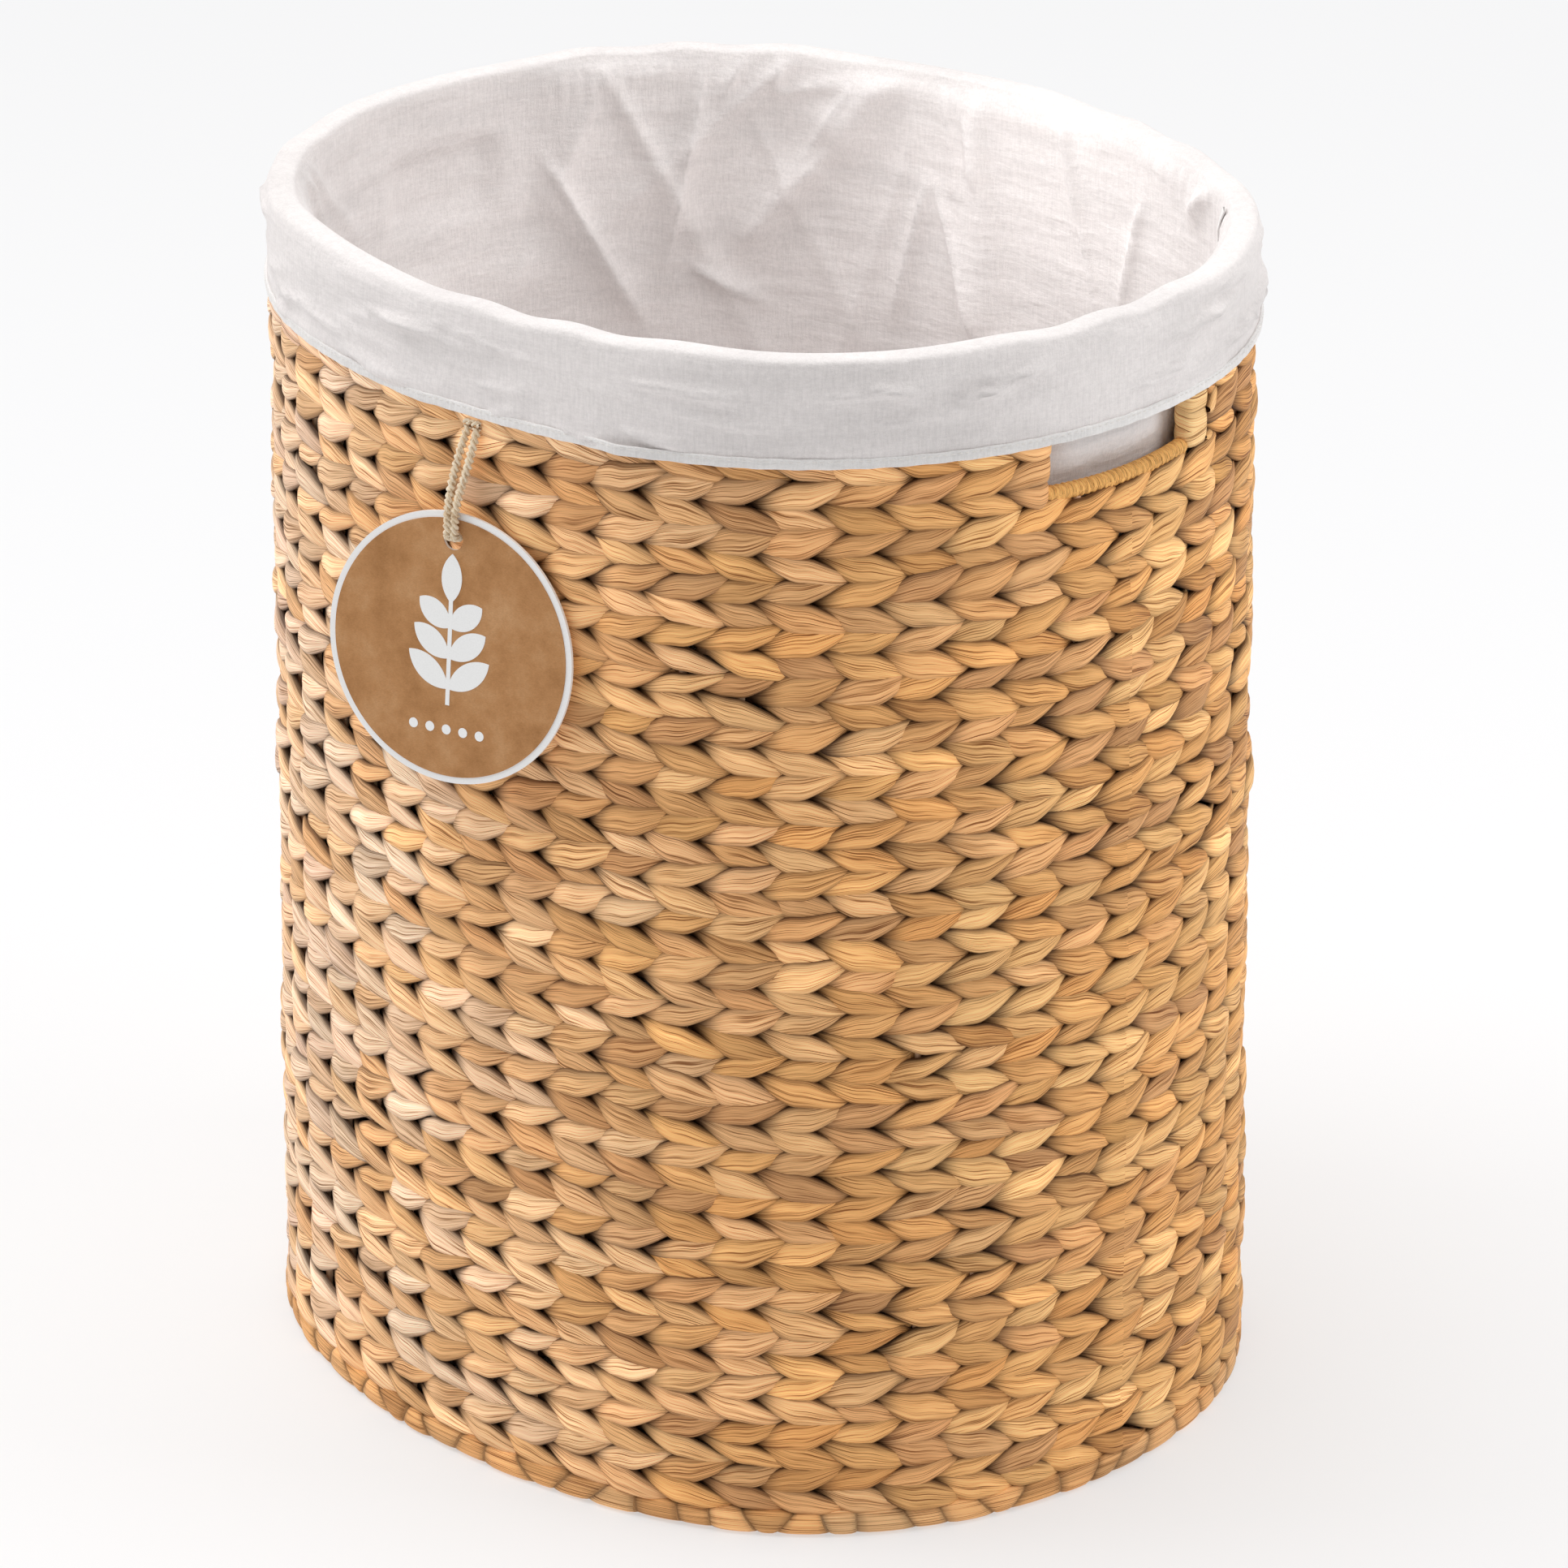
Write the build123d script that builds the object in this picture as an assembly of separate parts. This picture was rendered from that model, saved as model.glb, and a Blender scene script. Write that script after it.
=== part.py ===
"""Woven laundry basket with a cloth liner and a hang tag, in millimetres.

+Z is up, the long side runs along X, and the origin is the centre of the base.
The plan is an oval of eight tangent arcs.  Going up from the base the wall draws
in by the same small amount all round, so every wall face is a right cone.
"""
from build123d import *
from math import asin, atan, cos, degrees, radians, sin, tau
import os

# ---------------------------------------------------------------- driving sizes
HALF_LENGTH = 246.0        # outside of the weave at the rim, along X
HALF_WIDTH = 214.0         # outside of the weave at the rim, along Y
RIM_HEIGHT = 603.5         # top of the rim binding
FLARE = 7.2                # how much wider each side is at the floor than at the rim
CORNER_RADIUS = 189.0      # the four tighter arcs of the oval
CORNER_CENTRE = (55.0, 15.0)

# the wall, layer by layer, as depths in from the outside of the weave
OUTER_STRAND = 4.0
STAKE_LAYER = 4.3
WALL = 12.0
STAKE_DEPTH = OUTER_STRAND + STAKE_LAYER / 2
GAP = 0.1                  # left between pieces that lie against each other

# the weave
ARROW_COURSES = 24         # one course is a pair of twined rows that forms an arrow
ROWS = 2 * ARROW_COURSES
STAKES = 52
WEAVE_BOTTOM = 12.5
WEAVE_TOP = 592.0
ROW_PITCH = (WEAVE_TOP - WEAVE_BOTTOM) / ROWS

# the steel wire frame
WIRE = 4.0
HOOP_WIRE = 5.0
UPRIGHTS = 12
BASE_HOOP_Z = 6.0
RIM_HOOP_Z = 597.8
POST_STAKES = 2            # a handle post stands this many stakes from the handle's middle

# the handle cut-outs, one in each end
HANDLE_ROWS = (42, 47)     # rows that the opening interrupts
HANDLE_HALF_WIDTH = 47.0
POST_WRAP = (18.5, 11.6)   # across and through the wall
RAIL_WRAP = 8.0
HANDLE_BOTTOM = WEAVE_BOTTOM + HANDLE_ROWS[0] * ROW_PITCH
HANDLE_TOP = WEAVE_BOTTOM + HANDLE_ROWS[1] * ROW_PITCH
RAIL_Z = HANDLE_BOTTOM + RAIL_WRAP / 2 + 2 * GAP

# the base
BINDING_PROUD = 1.0
BINDING_WALL = 3.1
STRIP = 3.0                # thickness of a base strip
STRIP_WIDTH = 36.0
STRIP_GAP = 1.5

# the liner
CLOTH = 1.2
LINER_CLEARANCE = 0.8
CUFF_DEPTH = 54.0
HEM = (4.0, 2.0)           # height and thickness
LINER_FLOOR_Z = 12.6
SEAM_TAPE = (8.0, 1.0)

# the hang tag
TAG_RADIUS = 66.0
TAG_CARD = 1.6
TAG_FACE = 0.4
TAG_BORDER = 3.2
TAG_INK = 0.2
TAG_HOLE = 10.5
TAG_HOLE_UP = 53.0         # from the tag's centre
TAG_CENTRE = (30.0, -231.5, 440.0)
TAG_TURN = -73.0           # direction the tag faces, from +X
TAG_LEAN = 6.0             # its lower edge stands further out than its top
TWINE = 3.2
TWINE_SPREAD = 1.75        # half the distance between the two strands
TWINE_X = 31.0             # where the twine goes into the weave
TWINE_TOP_Z = 548.4
BIGHT_HALF = 5.0           # half the stretch of twine that lies along the weave

# ---------------------------------------------------------------- the oval
CX, CY = CORNER_CENTRE


def tangent_radius(half_side, along, across):
    """Radius of the long arc that meets a corner arc smoothly."""
    inset = along - half_side
    return (CORNER_RADIUS**2 - inset**2 - across**2) / (2 * (inset + CORNER_RADIUS))


END_RADIUS = tangent_radius(HALF_LENGTH, CX, CY)
SIDE_RADIUS = tangent_radius(HALF_WIDTH, CY, CX)
END_CENTRE = HALF_LENGTH - END_RADIUS
SIDE_CENTRE = HALF_WIDTH - SIDE_RADIUS
END_ANGLE = degrees(asin(CY / (END_RADIUS - CORNER_RADIUS)))
SIDE_ANGLE = degrees(asin(CX / (SIDE_RADIUS - CORNER_RADIUS)))
TAPER = degrees(atan(FLARE / RIM_HEIGHT))


def oval_line(offset):
    """The oval, moved outwards by offset, from its +X end anticlockwise."""
    end = END_RADIUS + offset
    side = SIDE_RADIUS + offset
    corner = CORNER_RADIUS + offset
    turn = 90 - SIDE_ANGLE - END_ANGLE
    arcs = [
        CenterArc((END_CENTRE, 0), end, 0, END_ANGLE),
        CenterArc((CX, CY), corner, END_ANGLE, turn),
        CenterArc((0, SIDE_CENTRE), side, 90 - SIDE_ANGLE, 2 * SIDE_ANGLE),
        CenterArc((-CX, CY), corner, 90 + SIDE_ANGLE, turn),
        CenterArc((-END_CENTRE, 0), end, 180 - END_ANGLE, 2 * END_ANGLE),
        CenterArc((-CX, -CY), corner, 180 + END_ANGLE, turn),
        CenterArc((0, -SIDE_CENTRE), side, 270 - SIDE_ANGLE, 2 * SIDE_ANGLE),
        CenterArc((CX, -CY), corner, 270 + SIDE_ANGLE, turn),
        CenterArc((END_CENTRE, 0), end, 360 - END_ANGLE, END_ANGLE),
    ]
    return Wire([arc.edge() for arc in arcs])


RIM_LINE = oval_line(0)


def widening(z):
    """How far the outside of the wall stands out at a height, beyond the rim's size."""
    return FLARE * (1 - z / RIM_HEIGHT)


def wall_point(along, depth, z):
    """A point at a share of the way round the wall, at a depth into it."""
    spot = RIM_LINE @ (along % 1)
    way = RIM_LINE % (along % 1)
    out = widening(z) - depth
    return Vector(spot.X + way.Y * out, spot.Y - way.X * out, z)


def filled_cone(depth, low, high):
    """Everything inside the wall's surface at a depth, between two heights."""
    face = Plane.XY.offset(low) * make_face(oval_line(widening(low) - depth))
    return extrude(face, amount=high - low, taper=TAPER)


def filled_oval(depth, low, high):
    """The same with upright sides, at its size at the rim."""
    return extrude(Plane.XY.offset(low) * make_face(oval_line(-depth)), amount=high - low)


def wall_ring(outer_depth, inner_depth, low, high):
    return filled_cone(outer_depth, low, high) - filled_cone(inner_depth, low - 1, high + 1)


def block(x_range, y_range, z_range):
    size = [high - low for low, high in (x_range, y_range, z_range)]
    middle = [(low + high) / 2 for low, high in (x_range, y_range, z_range)]
    return Pos(*middle) * Box(*size)


def rod(start, finish, diameter):
    """A straight round rod between two points."""
    plane = Plane(origin=start, z_dir=finish - start)
    return extrude(plane * Circle(diameter / 2), amount=(finish - start).length)


def both_ends(piece):
    """A piece at the +X end and its twin at the other, half a turn round."""
    return [piece, Rot(0, 0, 180) * piece]


# ---------------------------------------------------------------- the wire frame
def hoop(z):
    path = Plane.XY.offset(z) * oval_line(widening(z) - STAKE_DEPTH)
    start = wall_point(0, STAKE_DEPTH, z)
    return [sweep(Plane(origin=start, z_dir=(0, 1, 0)) * Circle(HOOP_WIRE / 2), path=path)]


def upright(along, top):
    bottom = wall_point(along, STAKE_DEPTH, BASE_HOOP_Z + HOOP_WIRE / 2 + GAP)
    return rod(bottom, wall_point(along, STAKE_DEPTH, top), WIRE)


def under_handle(along):
    """Whether a rod at this place would cross a handle opening."""
    from_end = (along + 0.25) % 0.5 - 0.25
    return abs(from_end) < (POST_STAKES - 0.1) / STAKES


def frame_uprights():
    full_height = RIM_HOOP_Z - HOOP_WIRE / 2 - GAP
    places = [number / UPRIGHTS for number in range(UPRIGHTS)]
    return [upright(at, HANDLE_BOTTOM if under_handle(at) else full_height) for at in places]


def handle_posts():
    top = RIM_HOOP_Z - HOOP_WIRE / 2 - GAP
    sides = [-POST_STAKES / STAKES, POST_STAKES / STAKES]
    return [upright(end + side, top) for end in (0, 0.5) for side in sides]


def rail_path(half_angle):
    radius = END_RADIUS + widening(RAIL_Z) - STAKE_DEPTH
    return Plane.XY.offset(RAIL_Z) * CenterArc((END_CENTRE, 0), radius, -half_angle, 2 * half_angle)


def rail_tube(half_width, diameter):
    """A round bar along the lower edge of the opening at the +X end."""
    path = rail_path(degrees(asin(half_width / END_RADIUS)))
    section = Plane(origin=path @ 0, z_dir=path % 0) * Circle(diameter / 2)
    return sweep(section, path=path)


def handle_rails():
    post_y = wall_point(POST_STAKES / STAKES, STAKE_DEPTH, RAIL_Z).Y
    return both_ends(rail_tube(post_y - WIRE / 2 - 1.0, WIRE))


def base_cross_rods():
    """Three rods across the base, from hoop to hoop, that carry its strips."""
    rods = []
    for along in (0.25, 0.25 - 1 / UPRIGHTS, 0.25 + 1 / UPRIGHTS):
        reach = wall_point(along, STAKE_DEPTH + HOOP_WIRE / 2 + 1.5, BASE_HOOP_Z)
        near = Vector(reach.X, -reach.Y, BASE_HOOP_Z)
        rods.append(rod(near, reach, WIRE))
    return rods


# ---------------------------------------------------------------- the weave
def is_rod_place(number):
    """Whether a frame upright or a handle post takes the place of this stake."""
    on_upright = number * UPRIGHTS % STAKES == 0
    from_end = (number + STAKES // 4) % (STAKES // 2) - STAKES // 4
    return on_upright or abs(from_end) == POST_STAKES


def stakes():
    rods = []
    for number in range(STAKES):
        if is_rod_place(number):
            continue
        along = number / STAKES
        top = HANDLE_BOTTOM if under_handle(along) else WEAVE_TOP
        low = wall_point(along, STAKE_DEPTH, WEAVE_BOTTOM + GAP)
        rods.append(rod(low, wall_point(along, STAKE_DEPTH, top), WIRE))
    return rods


def handle_cut():
    """The space that each handle and its wrapped post take out of the weave."""
    wrapped_side = POST_WRAP[0] + HANDLE_HALF_WIDTH + 4 * GAP
    hole = block((HALF_LENGTH - 60, HALF_LENGTH + 40), (-HANDLE_HALF_WIDTH, wrapped_side),
                 (HANDLE_BOTTOM, HANDLE_TOP))
    return Part() + both_ends(hole)


def woven_ring(number, outer_depth, inner_depth, cut):
    low = WEAVE_BOTTOM + 2 * ROW_PITCH * number
    high = low + 2 * ROW_PITCH
    ring = wall_ring(outer_depth, inner_depth, low, high)
    if high > HANDLE_BOTTOM and low < HANDLE_TOP:
        ring = ring - cut
    return ring.solids()


def arrow_courses(cut):
    """The outside of each arrow course: the strands that pass in front of the stakes."""
    return {f"arrow_course_{number + 1:02d}": woven_ring(number, 0, OUTER_STRAND, cut)
            for number in range(ARROW_COURSES)}


def inner_face_strands(cut):
    """The inside of each arrow course: the strands that pass behind the stakes."""
    depths = (OUTER_STRAND + STAKE_LAYER, WALL)
    return [solid for number in range(ARROW_COURSES)
            for solid in woven_ring(number, *depths, cut)]


def base_edge_binding():
    """The strand wound round the base hoop, open inwards where the base joins."""
    ring = wall_ring(-BINDING_PROUD, WALL, 0, WEAVE_BOTTOM - GAP)
    hollow = wall_ring(BINDING_WALL, WALL + 1, BINDING_WALL, WEAVE_BOTTOM)
    return (ring - hollow).solids()


def rim_binding():
    """The strand wound over the rim hoop, open downwards where the rods come up."""
    ring = wall_ring(0, WALL, WEAVE_TOP + GAP, RIM_HEIGHT)
    hollow = wall_ring(BINDING_WALL, WALL - BINDING_WALL, WEAVE_TOP - 1, RIM_HEIGHT - BINDING_WALL)
    return (ring - hollow).solids()


def base_strips(low, crosswise):
    """Flat strips side by side, trimmed to the oval inside the base binding."""
    high = low + STRIP
    outline = filled_cone(WALL + 1, low, high)
    reach = HALF_LENGTH + FLARE
    half_span = HALF_LENGTH if crosswise else HALF_WIDTH
    count = int(2 * half_span / STRIP_WIDTH)
    strips = []
    for number in range(count):
        middle = (number - (count - 1) / 2) * STRIP_WIDTH
        band = (middle - (STRIP_WIDTH - STRIP_GAP) / 2, middle + (STRIP_WIDTH - STRIP_GAP) / 2)
        ranges = (band, (-reach, reach)) if crosswise else ((-reach, reach), band)
        strips += (block(*ranges, (low, high)) & outline).solids()
    return strips


# ---------------------------------------------------------------- the handles
def handle_rail_wraps():
    tube = rail_tube(HANDLE_HALF_WIDTH, RAIL_WRAP) - rail_tube(HANDLE_HALF_WIDTH + 3, WIRE + 2 * GAP)
    return both_ends(tube)


def handle_post_wraps():
    """Flat strand wound round one post of each handle, in two full turns."""
    across, through = POST_WRAP
    along = POST_STAKES / STAKES
    low = wall_point(along, STAKE_DEPTH, RAIL_Z + RAIL_WRAP / 2 + GAP)
    high = wall_point(along, STAKE_DEPTH, HANDLE_TOP - GAP)
    outward = wall_point(along, 0, low.Z) - wall_point(along, WALL, low.Z)
    plane = Plane(origin=low, x_dir=outward.cross(Vector(0, 0, 1)), z_dir=high - low)
    height = (high - low).length
    turn = extrude(plane * RectangleRounded(across, through, 4), amount=height)
    shaft = extrude(plane * Circle(WIRE / 2 + GAP), amount=height)
    return both_ends(turn - shaft)


# ---------------------------------------------------------------- the liner
BAG_DEPTH = WALL + LINER_CLEARANCE
FOLD_Z = RIM_HEIGHT + LINER_CLEARANCE
CUFF_BOTTOM = FOLD_Z + CLOTH - CUFF_DEPTH
CUFF_OUTSIDE = -LINER_CLEARANCE - CLOTH


def liner_bag_wall():
    """The tube of cloth that hangs inside the wall, straight down from the rim."""
    inside = filled_oval(BAG_DEPTH + CLOTH, 0, 2 * RIM_HEIGHT)
    return (filled_oval(BAG_DEPTH, LINER_FLOOR_Z, FOLD_Z) - inside).solids()


def liner_rim_fold():
    """Where the same cloth lies over the rim."""
    inside = filled_oval(BAG_DEPTH + CLOTH, 0, 2 * RIM_HEIGHT)
    return (filled_cone(CUFF_OUTSIDE, FOLD_Z, FOLD_Z + CLOTH) - inside).solids()


def liner_cuff():
    """The last of the same cloth, turned down outside the wall."""
    return wall_ring(CUFF_OUTSIDE, -LINER_CLEARANCE, CUFF_BOTTOM + HEM[0], FOLD_Z).solids()


def liner_cuff_hem():
    outside = -LINER_CLEARANCE - HEM[1]
    return wall_ring(outside, -LINER_CLEARANCE, CUFF_BOTTOM, CUFF_BOTTOM + HEM[0]).solids()


def liner_floor_panel():
    return filled_oval(BAG_DEPTH + CLOTH + GAP, LINER_FLOOR_Z, LINER_FLOOR_Z + CLOTH).solids()


def liner_floor_seam():
    """The turned-in edge of the floor panel, all round inside the bag."""
    width, thickness = SEAM_TAPE
    outer = BAG_DEPTH + CLOTH + 2 * GAP
    low = LINER_FLOOR_Z + CLOTH
    ring = filled_oval(outer, low, low + thickness) - filled_oval(outer + width, 0, RIM_HEIGHT)
    return ring.solids()


def liner_side_seam():
    """The turned-in edges where the side panel's two ends are sewn together."""
    width, thickness = SEAM_TAPE
    outer = BAG_DEPTH + CLOTH + GAP
    low = LINER_FLOOR_Z + CLOTH + thickness + 2 * GAP
    ring = filled_oval(outer, low, FOLD_Z) - filled_oval(outer + thickness, 0, RIM_HEIGHT * 2)
    slot = block((0, HALF_LENGTH), (-width / 2, width / 2), (low, FOLD_Z))
    return (ring & (Rot(0, 0, 40) * slot)).solids()


# ---------------------------------------------------------------- the hang tag
TAG_OUT = Vector(cos(radians(TAG_LEAN)) * cos(radians(TAG_TURN)),
                 cos(radians(TAG_LEAN)) * sin(radians(TAG_TURN)), sin(radians(TAG_LEAN)))
TAG_ACROSS = Vector(-sin(radians(TAG_TURN)), cos(radians(TAG_TURN)), 0)
TAG_PLANE = Plane(origin=TAG_CENTRE, x_dir=TAG_ACROSS, z_dir=TAG_OUT)


def on_tag(shape, low, high):
    """A flat shape drawn on the tag, as a layer between two distances from its card."""
    return extrude(TAG_PLANE.offset(low) * shape, amount=high - low)


def tag_disc(radius):
    return Circle(radius) - Pos(0, TAG_HOLE_UP) * Circle(TAG_HOLE / 2)


def leaf(length, width, angle, at):
    """A pointed leaf between two arcs, from its stalk end."""
    half = width / 2
    outline = [
        ThreePointArc((0, 0), (length / 2, half), (length, 0)),
        ThreePointArc((length, 0), (length / 2, -half), (0, 0)),
    ]
    return Pos(*at) * Rot(0, 0, angle) * make_face(outline)


def tag_print():
    """A plain sprig of leaves over a row of dots, printed in white."""
    stalk_foot = -28.0
    drawing = [Pos(0, stalk_foot + 26) * Rectangle(2.2, 52)]
    drawing.append(leaf(24, 11, 90, (0, stalk_foot + 50)))
    for step in range(3):
        at = (0, stalk_foot + 8 + 15 * step)
        drawing.append(leaf(27 - 3 * step, 12, 36, at))
        drawing.append(leaf(27 - 3 * step, 12, 144, at))
    dots = [Pos(9 * (number - 2), stalk_foot - 12) * Circle(2.4) for number in range(5)]
    sprig = Sketch() + drawing
    return (on_tag(sprig, TAG_FACE, TAG_FACE + TAG_INK).solids()
            + [on_tag(dot, TAG_FACE, TAG_FACE + TAG_INK) for dot in dots])


TWINE_ANGLE = radians(270) + asin(TWINE_X / SIDE_RADIUS)
TWINE_REACH = SIDE_RADIUS + widening(TWINE_TOP_Z) + TWINE / 2 + 0.6
TWINE_MIDDLE = Vector(TWINE_REACH * cos(TWINE_ANGLE),
                      TWINE_REACH * sin(TWINE_ANGLE) - SIDE_CENTRE, TWINE_TOP_Z)
WALL_ACROSS = Vector(-sin(TWINE_ANGLE), cos(TWINE_ANGLE), 0)


def twine_strand(side):
    """From under the hem, down in front of the tag's edge, and back through its hole."""
    place = TAG_PLANE.from_local_coords
    above = TAG_FACE + TWINE / 2 + 0.6
    top = TWINE_MIDDLE + WALL_ACROSS * (side * TWINE_SPREAD * 1.6) - Vector(0, 0, TWINE / 2 + 0.5)
    route = [
        top,
        place((side * TWINE_SPREAD, TAG_RADIUS + 4, above + 0.4)),
        place((side * TWINE_SPREAD, TAG_HOLE_UP + 2.2, above)),
        place((side * TWINE_SPREAD, TAG_HOLE_UP + 1.0, -TAG_CARD - 1.6)),
    ]
    path = FilletPolyline(*route, radius=[12.0, 2.6])
    return sweep(Plane(origin=path @ 0, z_dir=path % 0) * Circle(TWINE / 2), path=path)


def twine_bight():
    """The short stretch of twine that is tied round a strand of the weave."""
    half = WALL_ACROSS * BIGHT_HALF
    return [rod(TWINE_MIDDLE - half, TWINE_MIDDLE + half, TWINE)]


def twine_knot():
    middle = TAG_PLANE.from_local_coords((0, TAG_HOLE_UP + 1.0, -TAG_CARD - 5.4))
    return [Pos(*middle) * Sphere(3.7)]


# ---------------------------------------------------------------- all the pieces
def all_pieces():
    cut = handle_cut()
    pieces = {
        "base_hoop": hoop(BASE_HOOP_Z),
        "rim_hoop": hoop(RIM_HOOP_Z),
        "frame_uprights": frame_uprights(),
        "handle_posts": handle_posts(),
        "handle_rails": handle_rails(),
        "base_cross_rods": base_cross_rods(),
        "stakes": stakes(),
        "base_strips_crosswise": base_strips(BASE_HOOP_Z - WIRE / 2 - GAP - STRIP, True),
        "base_strips_lengthwise": base_strips(BASE_HOOP_Z + WIRE / 2 + GAP, False),
        "base_edge_binding": base_edge_binding(),
        "rim_binding": rim_binding(),
        "inner_face_strands": inner_face_strands(cut),
        "handle_rail_wraps": handle_rail_wraps(),
        "handle_post_wraps": handle_post_wraps(),
        "liner_bag_wall": liner_bag_wall(),
        "liner_rim_fold": liner_rim_fold(),
        "liner_cuff": liner_cuff(),
        "liner_floor_panel": liner_floor_panel(),
        "liner_floor_seam": liner_floor_seam(),
        "liner_side_seam": liner_side_seam(),
        "liner_cuff_hem": liner_cuff_hem(),
        "tag_backing_card": [on_tag(tag_disc(TAG_RADIUS), -TAG_CARD, 0)],
        "tag_kraft_face": [on_tag(tag_disc(TAG_RADIUS - TAG_BORDER), 0, TAG_FACE)],
        "tag_print": tag_print(),
        "tag_twine": [twine_strand(-1), twine_strand(1)],
        "tag_twine_knot": twine_knot(),
        "twine_bight": twine_bight(),
    }
    pieces.update(arrow_courses(cut))
    return pieces


os.makedirs("parts", exist_ok=True)
for name, solids in all_pieces().items():
    export_step(Compound(children=list(solids)), f"parts/{name}.step")
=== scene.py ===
"""How the woven laundry basket looks: its strands, cloth, card and twine, round the CAD frame.

Everything is in metres and in the row frame: +Z is up, the long side runs along X, and
the origin is the centre of the base.  Most pieces are drawn in the wall's own terms: a
share of the way round it, a depth in from its outside, and a height.
"""
from math import asin, cos, pi, radians, sin, tau

import bpy
import numpy as np
from mathutils import Matrix, Vector


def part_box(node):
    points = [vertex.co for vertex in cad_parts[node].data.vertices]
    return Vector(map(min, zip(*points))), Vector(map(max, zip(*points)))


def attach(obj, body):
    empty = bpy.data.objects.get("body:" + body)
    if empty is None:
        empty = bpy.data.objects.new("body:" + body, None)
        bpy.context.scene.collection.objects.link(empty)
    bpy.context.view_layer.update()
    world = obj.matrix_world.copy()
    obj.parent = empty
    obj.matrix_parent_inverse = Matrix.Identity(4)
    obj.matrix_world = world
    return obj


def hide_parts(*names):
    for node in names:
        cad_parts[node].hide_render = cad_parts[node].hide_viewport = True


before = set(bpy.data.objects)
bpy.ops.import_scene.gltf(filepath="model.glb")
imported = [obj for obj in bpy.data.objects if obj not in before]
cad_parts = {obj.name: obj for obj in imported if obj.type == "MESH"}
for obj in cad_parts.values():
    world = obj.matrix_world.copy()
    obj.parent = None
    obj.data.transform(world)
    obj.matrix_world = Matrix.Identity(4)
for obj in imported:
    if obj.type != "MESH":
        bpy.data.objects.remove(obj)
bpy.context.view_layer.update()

MM = 0.001

# ---- sizes that the frame gives
COURSES = sorted(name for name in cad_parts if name.startswith("arrow_course_"))


def heights(node):
    """A CAD node's lowest and highest point."""
    low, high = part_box(node)
    return low[2], high[2]


WEAVE_BOTTOM = heights(COURSES[0])[0]
WEAVE_TOP = heights(COURSES[-1])[1]
ROW_PITCH = (WEAVE_TOP - WEAVE_BOTTOM) / (2 * len(COURSES))
RIM_BOTTOM, RIM_TOP = heights("rim_binding")
FOOT_TOP = heights("base_edge_binding")[1]
FOLD_TOP = heights("liner_rim_fold")[1]
HEM_BOTTOM, HEM_TOP = heights("liner_cuff_hem")
LINER_BOTTOM = heights("liner_bag_wall")[0]
CLOTH = heights("liner_floor_panel")[1] - LINER_BOTTOM
RAIL_BOTTOM, RAIL_TOP = heights("handle_rail_wraps")
RAIL_Z = (RAIL_BOTTOM + RAIL_TOP) / 2
RAIL_RADIUS = (RAIL_TOP - RAIL_BOTTOM) / 2
POST_TOP = heights("handle_post_wraps")[1]


def wall_slope():
    """How much each side of the wall draws in for each metre of height."""
    low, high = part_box(COURSES[0]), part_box(COURSES[-1])
    return (low[1][1] - high[1][1]) / (high[0][2] - low[0][2])


SLOPE = wall_slope()
HALF_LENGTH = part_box(COURSES[0])[1][0] - SLOPE * (RIM_TOP - WEAVE_BOTTOM)
HALF_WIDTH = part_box(COURSES[0])[1][1] - SLOPE * (RIM_TOP - WEAVE_BOTTOM)

# ---- sizes repeated from part.py
CORNER_RADIUS = 0.189  # of the four tighter curves of the oval
CORNER_CENTRE = (0.055, 0.015)
WALL = 0.012  # how thick the wall is
STAKE_DEPTH = 0.00615  # from the wall's outside to the middle of its stakes
STAKES = 52
UPRIGHTS = 12  # rods of the wire frame that stand in the wall
POST_STAKES = 2  # a hand hole's posts stand this many stakes from its middle
HANDLE_ROWS = (42, 47)  # the rows that a hand hole cuts
HANDLE_HALF_WIDTH = 0.047
POST_WRAP = (0.0185, 0.0116)  # a wound post, along the wall and through it
BAG_DEPTH = 0.0128  # from the wall's outside to the bag's cloth
SEAM_ANGLE = radians(40)  # the way from the middle to the bag's side seam
TAG_RADIUS = 0.066
TAG_HOLE_UP = 0.053  # from the tag's centre to its hole
TAG_CENTRE = Vector((0.030, -0.2315, 0.440))
TAG_TURN = radians(-73)
TAG_LEAN = radians(6)
TWINE_RADIUS = 0.0016
TWINE_SPREAD = 0.00175

# ---- the oval wall
CX, CY = CORNER_CENTRE


def tangent_radius(half_side, along, across):
    """Radius of the long arc that meets a corner arc smoothly."""
    inset = along - half_side
    return (CORNER_RADIUS**2 - inset**2 - across**2) / (2 * (inset + CORNER_RADIUS))


def rim_arcs():
    """The rim's arcs, anticlockwise, each as its centre, radius, first angle and turn.

    They start at the +X end, and each end's arc is in two halves.
    """
    end = tangent_radius(HALF_LENGTH, CX, CY)
    side = tangent_radius(HALF_WIDTH, CY, CX)
    end_angle = asin(CY / (end - CORNER_RADIUS))
    side_angle = asin(CX / (side - CORNER_RADIUS))
    corner_turn = pi / 2 - side_angle - end_angle
    half = [
        (HALF_LENGTH - end, 0, end, 0, end_angle),
        (CX, CY, CORNER_RADIUS, end_angle, corner_turn),
        (0, HALF_WIDTH - side, side, pi / 2 - side_angle, 2 * side_angle),
        (-CX, CY, CORNER_RADIUS, pi / 2 + side_angle, corner_turn),
        (end - HALF_LENGTH, 0, end, pi - end_angle, end_angle),
    ]
    twin = [(-x, -y, radius, angle + pi, turn) for x, y, radius, angle, turn in half]
    return np.array(half + twin)


ARCS = rim_arcs()
ARC_ENDS = np.cumsum(ARCS[:, 2] * ARCS[:, 4])
ROUND = ARC_ENDS[-1]  # the length of the rim's outline
STAKE_PITCH = ROUND / STAKES
POST_EDGE = POST_STAKES * STAKE_PITCH - HANDLE_HALF_WIDTH


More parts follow.
